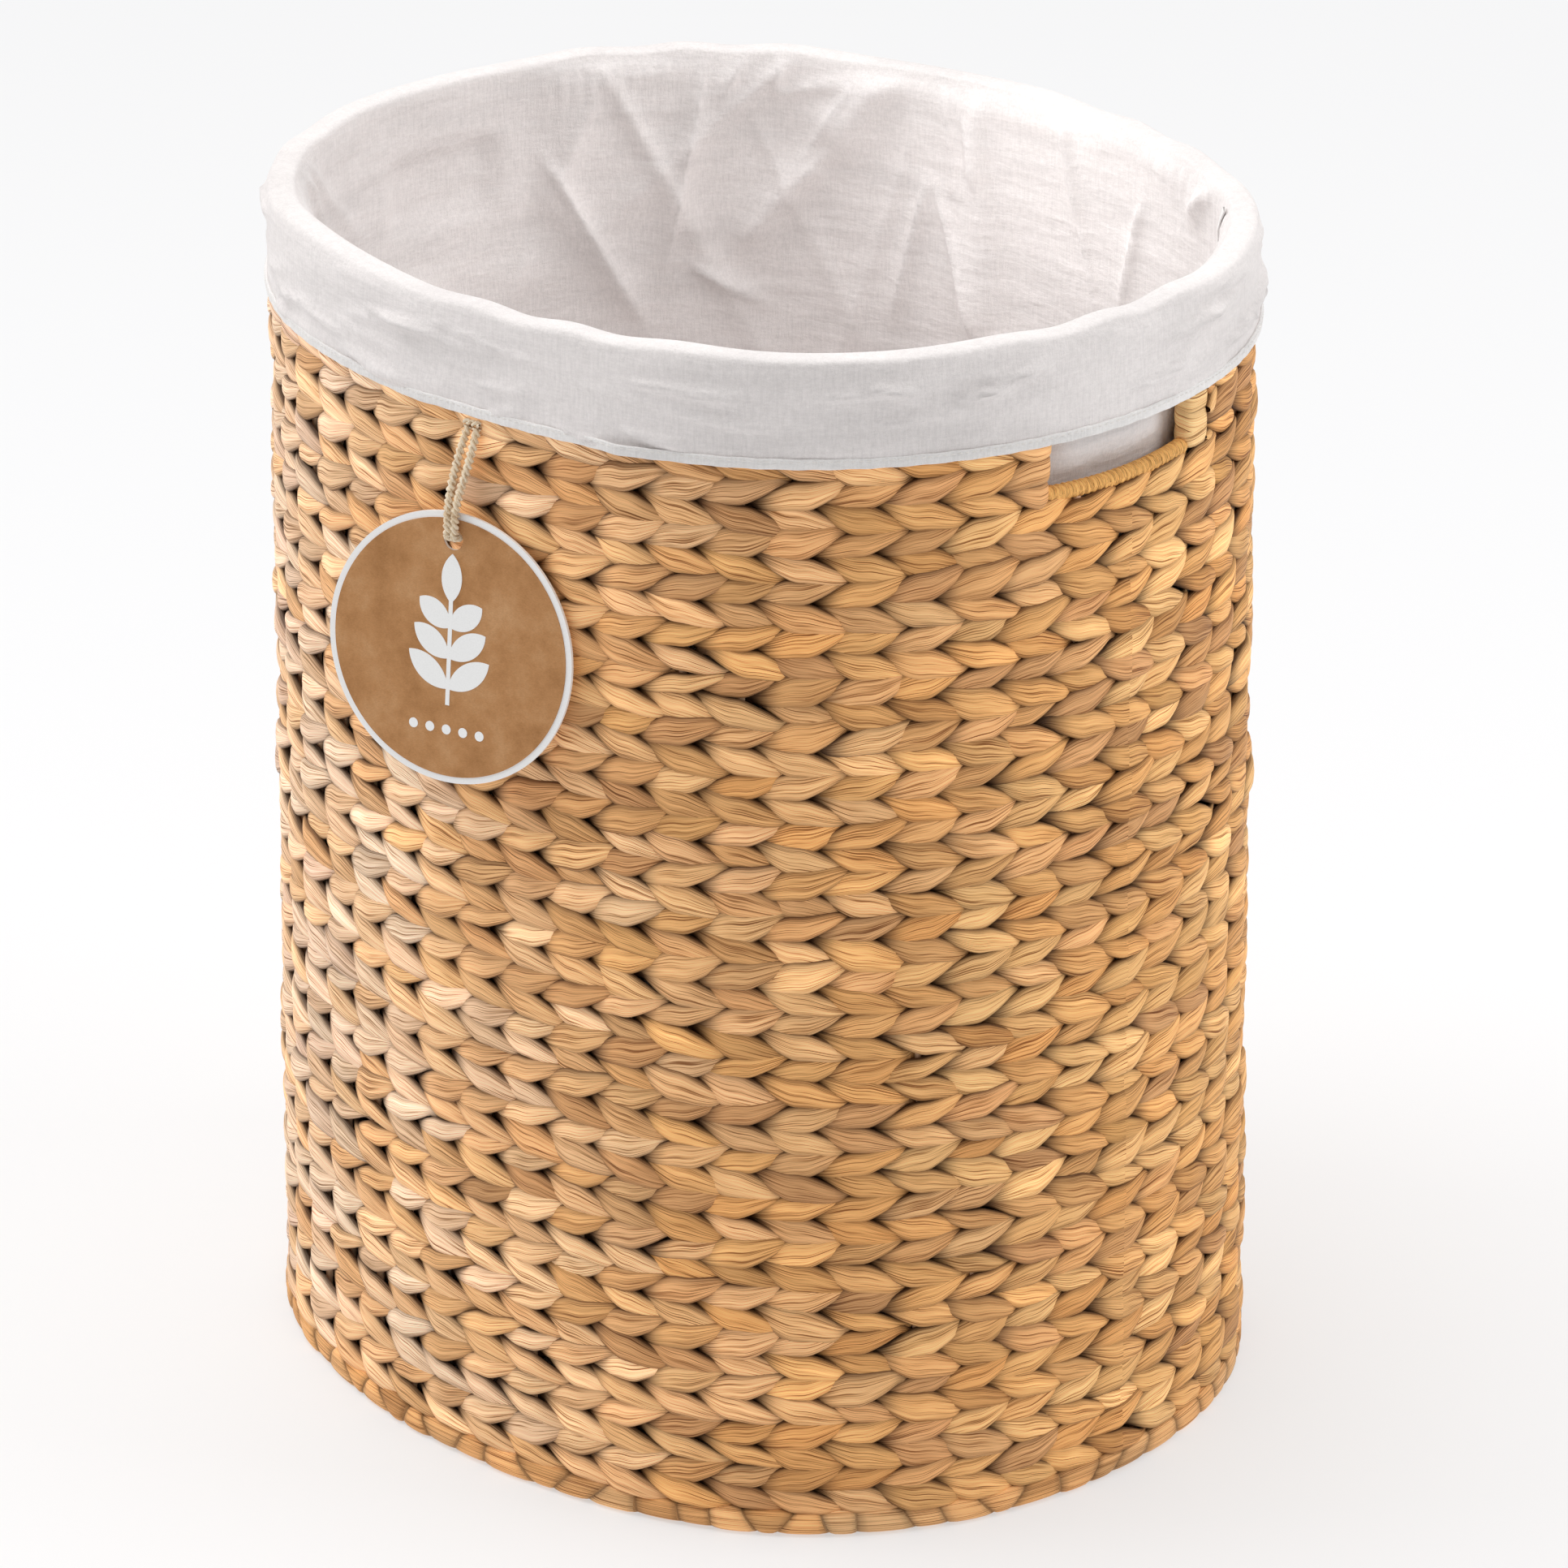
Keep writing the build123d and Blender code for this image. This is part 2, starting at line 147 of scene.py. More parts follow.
def rim_line(share):
    """Points on the rim's outline, and the directions out of it, at shares of the way round."""
    distance = np.mod(share, 1) * ROUND
    which = np.minimum(np.searchsorted(ARC_ENDS, distance, side="right"), len(ARCS) - 1)
    arc = ARCS[which]
    travelled = distance - (ARC_ENDS[which] - arc[..., 2] * arc[..., 4])
    angle = arc[..., 3] + travelled / arc[..., 2]
    out = np.stack([np.cos(angle), np.sin(angle)], axis=-1)
    return arc[..., :2] + arc[..., 2:3] * out, out


def wall(share, depth, z):
    """Points in the wall, at shares of the way round it, depths into it and heights."""
    share, depth, z = np.broadcast_arrays(share, depth, z)
    spot, out = rim_line(share)
    reach = SLOPE * (RIM_TOP - z) - depth
    flat = spot + out * reach[..., None]
    return np.concatenate([flat, z[..., None]], axis=-1)


def ease(low, high, value):
    """0 before low, 1 after high, and a smooth step between them."""
    part = np.clip((value - low) / (high - low), 0, 1)
    return part * part * (3 - 2 * part)


def from_ends(line):
    """How many points each point of a line is from its nearer end."""
    steps = np.arange(len(line))
    return np.minimum(steps, steps[::-1])


def circle(count):
    """Angles evenly round a circle."""
    return tau * np.arange(count) / count


def unrolled(count, length):
    """UV places round a closed loop of points, one past its last."""
    return np.arange(count + 1) / count * length


def squared(wave, power):
    """A sine or cosine bent towards a square wave, and more so for a smaller power."""
    return np.sign(wave) * abs(wave) ** power


def link(thing):
    """Puts a new object in the scene."""
    bpy.context.scene.collection.objects.link(thing)
    return thing


# ---- making meshes
class Surface:
    """Collects grids of points into one mesh, with a UV map and values at its points."""

    def __init__(self):
        self.points, self.faces, self.uvs, self.values = [], [], [], []
        self.count = 0

    def add(self, grid, along, across, tone=0.5, shade=0.0, closed=True):
        """A grid of rings of points, with the last ring joined to the first where it is closed.

        along and across are UV places, and reach one past the grid where it is joined up.
        """
        rows, columns = grid.shape[:2]
        joined = np.arange(rows if closed else rows - 1)
        i, j = (part.ravel() for part in np.meshgrid(joined, np.arange(columns), indexing="ij"))
        corners = [(i, j), (i + 1, j), (i + 1, j + 1), (i, j + 1)]
        face = [self.count + (a % rows) * columns + b % columns for a, b in corners]
        self.faces.append(np.stack(face, axis=-1))
        uv = [np.stack([across[b], along[a]], axis=-1) for a, b in corners]
        self.uvs.append(np.stack(uv, axis=1))
        self.points.append(grid.reshape(-1, 3))
        flat = [np.broadcast_to(part, (rows, columns)).ravel() for part in (tone, shade)]
        self.values.append(np.stack(flat, axis=-1))
        self.count += rows * columns

    def piece(self, name, material, body, slot, nodes):
        """The finished object, riding on its body in place of its CAD nodes."""
        points = np.concatenate(self.points)
        faces = np.concatenate(self.faces)
        mesh = bpy.data.meshes.new(name)
        mesh.vertices.add(len(points))
        mesh.vertices.foreach_set("co", points.ravel())
        mesh.loops.add(faces.size)
        mesh.loops.foreach_set("vertex_index", faces.ravel())
        mesh.polygons.add(len(faces))
        mesh.polygons.foreach_set("loop_start", np.arange(0, faces.size, 4))
        mesh.update(calc_edges=True)
        mesh.polygons.foreach_set("use_smooth", np.ones(len(faces), bool))
        fibre = mesh.uv_layers.new(name="fibre")
        fibre.data.foreach_set("uv", np.concatenate(self.uvs).ravel())
        values = np.concatenate(self.values)
        for number, word in enumerate(("tone", "shade")):
            attribute = mesh.attributes.new(word, "FLOAT", "POINT")
            attribute.data.foreach_set("value", values[:, number].astype(np.float32))
        mesh.materials.append(material)
        return place(bpy.data.objects.new(name, mesh), body, nodes)


def place(piece, body, nodes=()):
    """Links a new object, sets it to ride on its body, and hides the CAD nodes it replaces."""
    link(piece)
    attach(piece, body)
    if nodes:
        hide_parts(*nodes)
    return piece


# ---- materials
def rgb(red, green, blue):
    """A screen colour from 0 to 255 as the linear colour that shaders take."""
    parts = [channel / 255 for channel in (red, green, blue)]
    linear = [p / 12.92 if p <= 0.04045 else ((p + 0.055) / 1.055) ** 2.4 for p in parts]
    return (*linear, 1)


class Nodes:
    """A material's node tree, with one call for each kind of node that is used here."""

    def __init__(self, name, roughness=0.6, specular=0.3):
        self.material = bpy.data.materials.new(name)
        self.material.use_nodes = True
        self.tree = self.material.node_tree
        self.shader = self.tree.nodes["Principled BSDF"]
        self.shader.inputs["Roughness"].default_value = roughness
        self.shader.inputs["Specular IOR Level"].default_value = specular

    def node(self, kind, **inputs):
        """A new node, with values or links for its inputs; _ in a name stands for a space."""
        made = self.tree.nodes.new(kind)
        for name, value in inputs.items():
            self.set(made.inputs[name.replace("_", " ")], value)
        return made

    def set(self, socket, value):
        """Links another node's output to a socket, or gives it a plain value."""
        if isinstance(value, bpy.types.NodeSocket):
            self.tree.links.new(value, socket)
        else:
            socket.default_value = value

    def value(self, name):
        """A number that a mesh carries at its points."""
        found = self.node("ShaderNodeAttribute")
        found.attribute_name = name
        return found.outputs["Fac"]

    def place(self, scale, uv=None):
        """Object or UV coordinates, stretched by a scale for each axis."""
        if uv:
            source = self.node("ShaderNodeUVMap")
            source.uv_map = uv
            where = source.outputs["UV"]
        else:
            where = self.node("ShaderNodeTexCoord").outputs["Object"]
        return self.node("ShaderNodeMapping", Vector=where, Scale=scale).outputs["Vector"]

    def math(self, operation, first, second=0.0):
        """One step of arithmetic on values or links."""
        made = self.node("ShaderNodeMath")
        made.operation = operation
        self.set(made.inputs[0], first)
        self.set(made.inputs[1], second)
        return made.outputs[0]

    def noise(self, where, scale, detail=3.0, roughness=0.5, seed=0.0):
        """Noise with this many lumps to a metre, or to each unit of where."""
        made = self.tree.nodes.new("ShaderNodeTexNoise")
        made.noise_dimensions = "4D"
        values = dict(Vector=where, Scale=scale, Detail=detail, Roughness=roughness, W=seed)
        for name, value in values.items():
            self.set(made.inputs[name], value)
        return made.outputs["Fac"]

    def grain(self, upright, *values):
        """Noise through the object itself, packed this many times as close upwards as sideways."""
        return self.noise(self.place((1, 1, upright)), *values)

    def ramp(self, factor, *stops):
        """Colours or grey levels at stops between 0 and 1."""
        made = self.tree.nodes.new("ShaderNodeValToRGB")
        self.set(made.inputs["Fac"], factor)
        points = made.color_ramp.elements
        while len(points) < len(stops):
            points.new(0.5)
        for point, (position, colour) in zip(points, stops):
            point.position = position
            point.color = colour if isinstance(colour, tuple) else (colour, colour, colour, 1)
        return made.outputs["Color"]

    def mix(self, factor, first, second, blend="MIX"):
        """One colour laid over another."""
        made = self.tree.nodes.new("ShaderNodeMix")
        made.data_type = "RGBA"
        made.blend_type = blend
        sockets = [s for s in made.inputs if s.enabled]
        for socket, value in zip(sockets, (factor, first, second)):
            self.set(socket, value)
        return next(s for s in made.outputs if s.enabled)

    def colour(self, value):
        """Gives the shader its colour."""
        self.set(self.shader.inputs["Base Color"], value)

    def multiplied(self, first, *others):
        """A colour darkened or tinted by others."""
        for other in others:
            first = self.mix(1.0, first, other, "MULTIPLY")
        return first

    def bump(self, height, strength, distance):
        """Raises and lowers the surface's light by a height, up to a distance in metres."""
        made = self.node("ShaderNodeBump", Height=height, Strength=strength, Distance=distance)
        self.set(self.shader.inputs["Normal"], made.outputs["Normal"])


def hyacinth(name, tones, fibre=(2.5, 0.030), painted_shade_colour=rgb(46, 20, 6), dark=0.95):
    """Dried water hyacinth: each leaf its own tone, with lines along its fibres.

    fibre is how many lines there are in a millimetre, across a leaf and along it.
    """
    made = Nodes(name, roughness=0.62, specular=0.28)
    tone = made.value("tone")
    seed = made.math("MULTIPLY", tone, 370.0)
    across, along = (count / MM for count in fibre)

    def lines(wide, long, detail, roughness):
        """Lines along the leaf, packed this many times as close across it and along it."""
        where = made.place((wide * across, long * along, 1), "fibre")
        return made.noise(where, 1.0, detail, roughness, seed)

    coarse, fine, broad = lines(1, 1, 2.0, 0.55), lines(3, 1, 2.0, 0.6), lines(0.2, 1.4, 1.0, 0.5)
    own = made.noise((0.5, 0.5, 0.5), 1.0, 0.0, 0.5, made.math("MULTIPLY", tone, 211.0))
    base = made.ramp(tone, *((number / (len(tones) - 1), colour) for number, colour in enumerate(tones)))
    glow = made.ramp(own, (0.25, 1.02), (0.5, 1.33), (0.75, 1.70))
    streak = made.ramp(coarse, (0.34, (0.32, 0.20, 0.11, 1)), (0.43, (0.82, 0.74, 0.64, 1)),
                       (0.50, 1.06), (0.72, 1.30))
    hair = made.ramp(fine, (0.3, (0.66, 0.58, 0.48, 1)), (0.5, 1.0), (0.75, 1.08))
    patch = made.ramp(broad, (0.25, (0.86, 0.82, 0.78, 1)), (0.55, 1.0), (0.8, (1.1, 1.1, 1.12, 1)))
    # painted shade: the mesh's shade value, scaled by dark, mixes in a dark brown where strands dive under
    # others, in grooves and along edges
    shade = made.math("MULTIPLY", made.value("shade"), dark)
    made.colour(made.mix(shade, made.multiplied(base, streak, hair, patch, glow), painted_shade_colour))
    made.bump(made.math("ADD", coarse, made.math("MULTIPLY", fine, 0.35)), 0.55, 0.0009)
    return made.material


def lightened(colour, by):
    """A screen colour made lighter by some steps, or darker, for the shaders."""
    return rgb(*(channel + by for channel in colour))


def cotton(name, colour=(250, 244, 242)):
    """Plain-woven cotton: its threads, slubs and soft shadows, and the crumples of use."""
    made = Nodes(name, roughness=0.9, specular=0.12)
    made.shader.inputs["Sheen Weight"].default_value = 0.15
    made.shader.inputs["Sheen Roughness"].default_value = 0.5
    grain = made.grain(1, 2600, 2.0, 0.6)
    slub = made.grain(3, 260, 3.0, 0.6)
    threads = made.grain(0.12, 900, 2.0, 0.6)
    shadow = made.grain(4.5, 13, 3.0, 0.55, 0.5)
    crumple = made.grain(4, 26, 2.5, 0.5, 0.4)
    tint = made.ramp(slub, (0.3, lightened(colour, -8)), (0.7, lightened(colour, 2)))
    tint = made.multiplied(tint, made.ramp(shadow, (0.36, 0.92), (0.55, 1.0)))
    weave = made.ramp(made.math("MULTIPLY", grain, threads), (0.12, 0.62), (0.34, 1.0))
    made.colour(made.mix(0.3, tint, weave, "MULTIPLY"))
    thread = made.math("ADD", made.math("ADD", grain, threads), made.math("MULTIPLY", slub, 1.5))
    made.bump(made.math("ADD", made.math("MULTIPLY", thread, 0.09), crumple), 0.6, 0.0042)
    return made.material


def kraft_paper(name):
    """Brown recycled card with cloudy mottling and short pressed fibres."""
    made = Nodes(name, roughness=0.82, specular=0.15)
    cloud = made.grain(1, 55, 5.0, 0.62)
    grain = made.grain(2.5, 900, 3.0, 0.6, 3.0)
    base = made.ramp(cloud, (0.30, rgb(172, 122, 76)), (0.5, rgb(194, 142, 94)),
                     (0.72, rgb(210, 162, 116)))
    made.colour(made.mix(0.35, base, made.ramp(grain, (0.3, 0.55), (0.7, 1.1)), "MULTIPLY"))
    made.bump(grain, 0.2, 0.0002)
    return made.material


def white_card(name, colour=(252, 251, 250), rough=0.6):
    """Pale card, ink or thread with a faint grain."""
    made = Nodes(name, roughness=rough, specular=0.25)
    grain = made.grain(1, 1400, 3.0, 0.6)
    made.colour(made.ramp(grain, (0.3, lightened(colour, -7)), (0.7, rgb(*colour))))
    made.bump(grain, 0.12, 0.0001)
    return made.material


def jute(name):
    """Pale twisted bast fibre with brown flecks."""
    made = Nodes(name, roughness=0.85, specular=0.15)
    lines = made.noise(made.place((1500, 150, 1), "fibre"), 1.0, 3.0, 0.6)
    fleck = made.grain(1, 420, 3.0, 0.6, 5.0)
    base = made.ramp(lines, (0.3, rgb(204, 172, 132)), (0.5, rgb(240, 222, 194)),
                     (0.7, rgb(250, 240, 222)))
    made.colour(made.multiplied(base, made.ramp(fleck, (0.3, (0.55, 0.45, 0.35, 1)), (0.45, 1.0))))
    made.bump(lines, 0.5, 0.0003)
    return made.material


def steel_wire(name):
    """Dull galvanised wire with faint drawing marks and a little tarnish."""
    made = Nodes(name, roughness=0.45, specular=0.5)
    marks = made.grain(0.1, 900, 3.0, 0.6)
    tarnish = made.grain(1, 60, 4.0, 0.6)
    made.shader.inputs["Metallic"].default_value = 0.85
    made.colour(made.ramp(tarnish, (0.3, rgb(120, 112, 104)), (0.7, rgb(168, 166, 162))))
    made.set(made.shader.inputs["Roughness"], made.math("ADD", 0.3, made.math("MULTIPLY", marks, 0.3)))
    made.bump(marks, 0.15, 0.0001)
    return made.material


def plaited_strip(name, along, tones):
    """Flat plaited strips, for the base: chevrons that run along an axis of the object."""
    half_strip, leaf_pitch, leaf_rise = 0.006, 0.011, 0.008
    made = Nodes(name, roughness=0.65, specular=0.25)
    spot = made.node("ShaderNodeSeparateXYZ", Vector=made.place((1, 1, 1)))
    run, side = (spot.outputs[axis] for axis in (("Y", "X") if along == "y" else ("X", "Y")))
    fold = made.math("PINGPONG", side, half_strip)
    slanted = made.math("ADD", made.math("DIVIDE", run, leaf_pitch), made.math("DIVIDE", fold, leaf_rise))
    leaf = made.math("FRACT", slanted)
    crown = made.math("SINE", made.math("MULTIPLY", leaf, pi))
    cell = made.math("FLOOR", slanted)
    pick = made.grain(1, 30, 2.0, 0.5, made.math("MULTIPLY", cell, 3.7))
    base = made.ramp(pick, (0.3, tones[0]), (0.45, tones[1]), (0.6, tones[2]), (0.75, tones[3]))
    # painted shade: each chevron leaf darkened towards its ends, where it meets the next
    edge = made.ramp(crown, (0.05, 0.35), (0.4, 1.0))
    made.colour(made.multiplied(base, edge))
    made.bump(crown, 0.8, 0.0015)
    return made.material


# pale to golden; a leaf's tone picks among these, partly at random and partly by painted light from its
# side of the wall
WEAVE_TONES = [
    rgb(246, 214, 190), rgb(230, 196, 170), rgb(252, 224, 194), rgb(236, 198, 162),
    rgb(248, 206, 158), rgb(228, 178, 128), rgb(236, 188, 132), rgb(206, 154, 104),
    rgb(232, 178, 114), rgb(214, 156, 94), rgb(238, 192, 132), rgb(222, 166, 98),
]
BINDING_TONES = [rgb(208, 152, 94), rgb(224, 172, 116), rgb(214, 160, 102), rgb(228, 184, 134)]
HANDLE_TONES = [rgb(238, 180, 104), rgb(246, 192, 116)]
POST_TONES = [rgb(238, 196, 136), rgb(244, 206, 150)]


# ---- the twined rows
SAMPLES = 14  # rings of points for each stake
SECTION = 14  # points round a strand
SQUARENESS = 0.75  # a strand's section: 1 is an oval, and less is nearer a box
STRAND_ACROSS = 0.034  # a strand's skin, flattened, from side to side
STRAND_TURN = 0.0038  # how far a strand swings out and in between the stakes
ROW_HALF = 0.0071  # half the height that a leaf fills in front of its stake
LEAF_OUT = 0.0031  # how far a leaf swells out from its middle
LEAF_IN = 0.0020  # and in
THIN_END = 0.45  # how thick a leaf is where it has no height, as a share
LAG = 0.10  # each leaf stands out most this share of a stake after its own
RIDGE = 0.0010  # how far the weave stands out over a frame rod
RIDGE_WIDTH = 0.42  # in stakes
UNDER_CUFF = -0.0007  # the least depth of a strand where the cuff lies over it
BELOW_CUFF = -0.0047  # and below the cuff
POST_STEP = 0.2  # in stakes, from a post to the next ring of points
# how much leaves differ: in width, thickness, height on the wall, standing out, and place
LEAF_SPREADS = (0.13, 0.14, 0.0006, 0.0006, 0.06)
TONE_CHANCE = 0.38  # how much of a leaf's tone is its own, and not the painted light of its side
# a leaf from its middle, 0, to where it is behind the next stake, 1
LEAF_PLACES = (-1.0, -0.82, -0.5, -0.12, 0.12, 0.5, 0.82, 1.0)
LEAF_HEIGHTS = (0.50, 0.42, 0.80, 1.07, 1.07, 0.78, 0.36, 0.50)
LEAF_DROPS = (0.0, -0.84, -0.49, 0.0, 0.0, 0.49, 0.84, 0.0)
LEAF_SOFTNESS = 0.075  # how far the corners of that outline are rounded


def held(values, at):
    """A value for each leaf, held where the leaf shows and changed behind the next stake."""
    leaf = at / 2
    first = np.floor(leaf).astype(int)
    part = ease(0.42, 0.58, leaf - first)
    count = len(values)
    return values[first % count] * (1 - part) + values[(first + 1) % count] * part


def softened(local, values):
    """A leaf's outline at places along it, with its corners rounded off."""
    spread = np.linspace(-2, 2, 9)
    weights = np.exp(-(spread**2) / 2)
    near = np.mod(local[..., None] + spread * LEAF_SOFTNESS + 1, 2) - 1
    return np.interp(near, LEAF_PLACES, values) @ (weights / weights.sum())


def rod_ridge(share):
    """1 over the rods of the wire frame, falling to 0 between them."""
    off = np.abs(np.mod(share * UPRIGHTS + 0.5, 1) - 0.5) * STAKES / UPRIGHTS
    return np.exp(-((off / RIDGE_WIDTH) ** 2))


def strand_swing(at):
    """How far out a strand stands, from 1 in front of a stake to -1 behind the next."""
    front = (1 + np.cos(pi * (at - LAG))) / 2
    return 2 * (front + 0.004) ** 0.36 - 1


def painted_side_light(share):
    """Painted light round the wall: 1 where the strands are golden and darker, and 0 where they are painted
    paler and lighter, as on the side the light falls on.
    """
    return 0.5 + 0.5 * np.sin(tau * (share + 0.20))


def turn_round_post(stake, out, bend, post):
    """Carries a strand on, round the post that ends its row, to the back of the wall."""
    reach = (POST_EDGE - LEAF_OUT * 0.7) / STAKE_PITCH
    angles = np.linspace(0, pi, 14)[1:]
    behind = [post - POST_STEP, post - 2 * POST_STEP]
    stake = np.concatenate([stake, post + reach * np.sin(angles), behind])
    out = np.concatenate([out, out[-1] * np.cos(angles), [-0.9, -0.8]])
    bend = np.concatenate([bend, angles, [pi, pi]])
    return stake, out, bend


def strand_path(partner, span):
    """Where a strand runs, in stakes, how far out it stands, and its turn round an end post."""
    first, last = span or (0, STAKES)
    count = round((last - first) * SAMPLES)
    stake = first + np.arange(count + 1 if span else count) / SAMPLES
    out, bend = strand_swing(stake - partner), np.zeros_like(stake)
    if span and (last - partner) % 2 == 0:
        return turn_round_post(stake, out, bend, last)
    return stake, out, bend


def leaf_differences(at, partner, chance):
    """How a strand's leaves differ, each way in LEAF_SPREADS, and their tones, which carry painted light
    from their side.
    """
    leaves = STAKES // 2
    differences = [held(chance.normal(0, spread, leaves), at) for spread in LEAF_SPREADS]
    side_light = painted_side_light((2 * np.arange(leaves) + partner) / STAKES)
    # painted light: most of a leaf's tone comes from its side of the wall, paler where the light falls
    tone = TONE_CHANCE * chance.random(leaves) + (1 - TONE_CHANCE) * side_light
    return *differences, held(tone, at)


def leaf_shade(local, side):
    """The painted shade on a leaf: at its ends, where it dives under the leaves beside it, and along its
    edges.
    """
    start = 1 - ease(-0.85, -0.25, local)
    finish = 0.6 * ease(0.6, 0.95, local)
    shade = np.maximum(start, finish)[:, None] + 0.95 * np.abs(side) ** 5
    return np.clip(shade, 0, 1)


def least_depth(z):
    """The least depth of a strand, which is under the cuff's cloth behind the cuff."""
    behind = ease(HEM_BOTTOM - 0.002, HEM_BOTTOM + 0.001, z)
    return BELOW_CUFF + (UNDER_CUFF - BELOW_CUFF) * behind


def twined_strand(surface, row, partner, chance, span=None):
    """One of a row's two strands, in front of every second stake and behind the others.

    Even rows fall to the right and odd rows climb, so each pair makes an arrow.
    """
    stake, out, bend = strand_path(partner, span)
    at = stake - partner
    wide, thick, lift, stand, shift, tone = leaf_differences(at, partner, chance)
    local = np.where(bend > 0, 0, np.mod(at + shift + 1, 2) - 1)
    height = softened(local, LEAF_HEIGHTS)
    slant = -1 if row % 2 == 0 else 1
    middle = WEAVE_BOTTOM + (row + 0.5) * ROW_PITCH
    z = middle + slant * ROW_HALF * softened(local, LEAF_DROPS) + lift
    half = ROW_HALF * height * (1 + wide)
    if span:
        half = half * np.minimum(1, 0.2 + from_ends(half) / 4)
    angles = circle(SECTION)
    face, side = (squared(wave(angles), SQUARENESS) for wave in (np.cos, np.sin))
    full = (1 + thick) * (THIN_END + (1 - THIN_END) * height)
    puff = np.where(face > 0, LEAF_OUT, LEAF_IN) * face * full[:, None]
    stand_out = STRAND_TURN * out + stand + RIDGE * rod_ridge(stake / STAKES)
    depth = STAKE_DEPTH - stand_out[:, None] - puff * np.cos(bend)[:, None]
    share = (stake[:, None] + puff * np.sin(bend)[:, None] / STAKE_PITCH) / STAKES
    grid_z = np.clip(z[:, None] + half[:, None] * side, FOOT_TOP - 0.001, None)
    grid = wall(share, np.maximum(depth, least_depth(grid_z)), grid_z)
    along = (stake[0] + np.arange(len(stake) + 1) / SAMPLES) * STAKE_PITCH + partner
    surface.add(grid, along, unrolled(SECTION, STRAND_ACROSS), tone[:, None], leaf_shade(local, side),
                closed=not span)


def row_spans(row):
    """The stretches of a row between the two hand holes, in stakes, or None for a whole ring."""
    if not HANDLE_ROWS[0] <= row < HANDLE_ROWS[1]:
        return [None]
    half = STAKES // 2
    start, end = POST_STAKES + POST_STEP, half - POST_STAKES
    return [(start, end), (start + half, end + half)]


def arrow_course(number, material):
    """Two twined rows, one falling and one climbing."""
    surface = Surface()
    for row in (2 * number, 2 * number + 1):
        chance = np.random.default_rng(100 + row)
        for span in row_spans(row):
            for partner in (0, 1):
                twined_strand(surface, row, partner, chance, span)
    node = COURSES[number]
    return surface.piece(f"woven_{node}", material, "basket", "hyacinth_weave",
                         [node, "inner_face_strands"])


# ---- wound bindings
def rounded_profile(outer, inner, low, high, radius, steps=4):
    """A closed loop of depths and heights round a box with rounded corners, from its outer face."""
    corners = [(outer + radius, low + radius, pi), (inner - radius, low + radius, 1.5 * pi),
               (inner - radius, high - radius, 0), (outer + radius, high - radius, 0.5 * pi)]
    loop = []
    for depth, z, first in corners:
        for step in range(steps + 1):
            angle = first + step * pi / 2 / steps
            loop.append((depth + radius * cos(angle), z + radius * sin(angle)))
    return np.array(loop)


def wound_ring(surface, profile, pitch, chance):
    """A flat strand wound round a ring, each turn a soft pad with a groove after it."""
    groove, proud_spread, slant = 0.0011, 0.00035, 0.004
    turns = int(ROUND / pitch)
    widths = 1 + chance.uniform(-0.3, 0.3, turns)
    edges = np.concatenate([[0], np.cumsum(widths) / widths.sum()])
    slants = chance.normal(0, slant, turns + 1)
    slants[-1] = slants[0]
    across = np.array([0.0, 0.06, 0.2, 0.4, 0.6, 0.8, 0.94])
    turn = np.repeat(np.arange(turns), len(across))
    part = np.tile(across, turns)
    centre = profile.mean(axis=0)
    height = (profile[:, 1] - centre[1]) / (profile[:, 1].max() - centre[1])
    lean = slants[turn] * (1 - part) + slants[turn + 1] * part
    share = edges[turn] * (1 - part) + edges[turn + 1] * part
    share = share[:, None] + (lean / ROUND)[:, None] * height
    pad = 1 - np.abs(2 * part - 1) ** 4
    proud = chance.normal(0, proud_spread, turns)[turn]
    swell = (pad * (groove + proud) - groove)[:, None]
    away = profile - centre
    away = away / np.linalg.norm(away, axis=1)[:, None]
    depth = profile[:, 0] + swell * away[:, 0]
    z = np.clip(profile[:, 1] + swell * away[:, 1], 0.0002, None)
    # painted shade, darkest in the groove between turns
    shade = (1 - pad)[:, None] * np.ones(len(profile))
    along = np.arange(turns * len(across) + 1) * pitch / len(across)
    lengths = np.linalg.norm(np.roll(profile, -1, axis=0) - profile, axis=1)
    around = np.concatenate([[0], np.cumsum(lengths)])
    surface.add(wall(share, depth, z), along, around, chance.random(turns)[turn][:, None], shade)


def foot_binding(material):
    """The strand wound over the foot hoop."""
    surface = Surface()
    profile = rounded_profile(-0.0011, WALL + 0.0005, 0.0, FOOT_TOP + 0.0006, 0.0042)
    wound_ring(surface, profile, 0.0195, np.random.default_rng(7))
    return surface.piece("wound_base_edge", material, "basket", "hyacinth_binding",
                         ["base_edge_binding"])


def rim_binding(material):
    """The strand wound over the rim hoop, under the cuff."""
    surface = Surface()
    profile = rounded_profile(0.0004, WALL - 0.0004, RIM_BOTTOM - 0.001, RIM_TOP - 0.0024, 0.0045)
    wound_ring(surface, profile, 0.0170, np.random.default_rng(8))
    return surface.piece("wound_rim", material, "basket", "hyacinth_binding", ["rim_binding"])


# ---- the handles
RAIL_SAG = 0.0015  # how far the winding droops in the middle of a rail
RAIL_PITCH = 0.0036  # from one turn of the cord on a rail to the next
POST_PITCH = 0.0125  # and of the flat strand on a post
POST_STRAND_HALF = (0.0014, 0.0070)  # half that strand's thickness and width


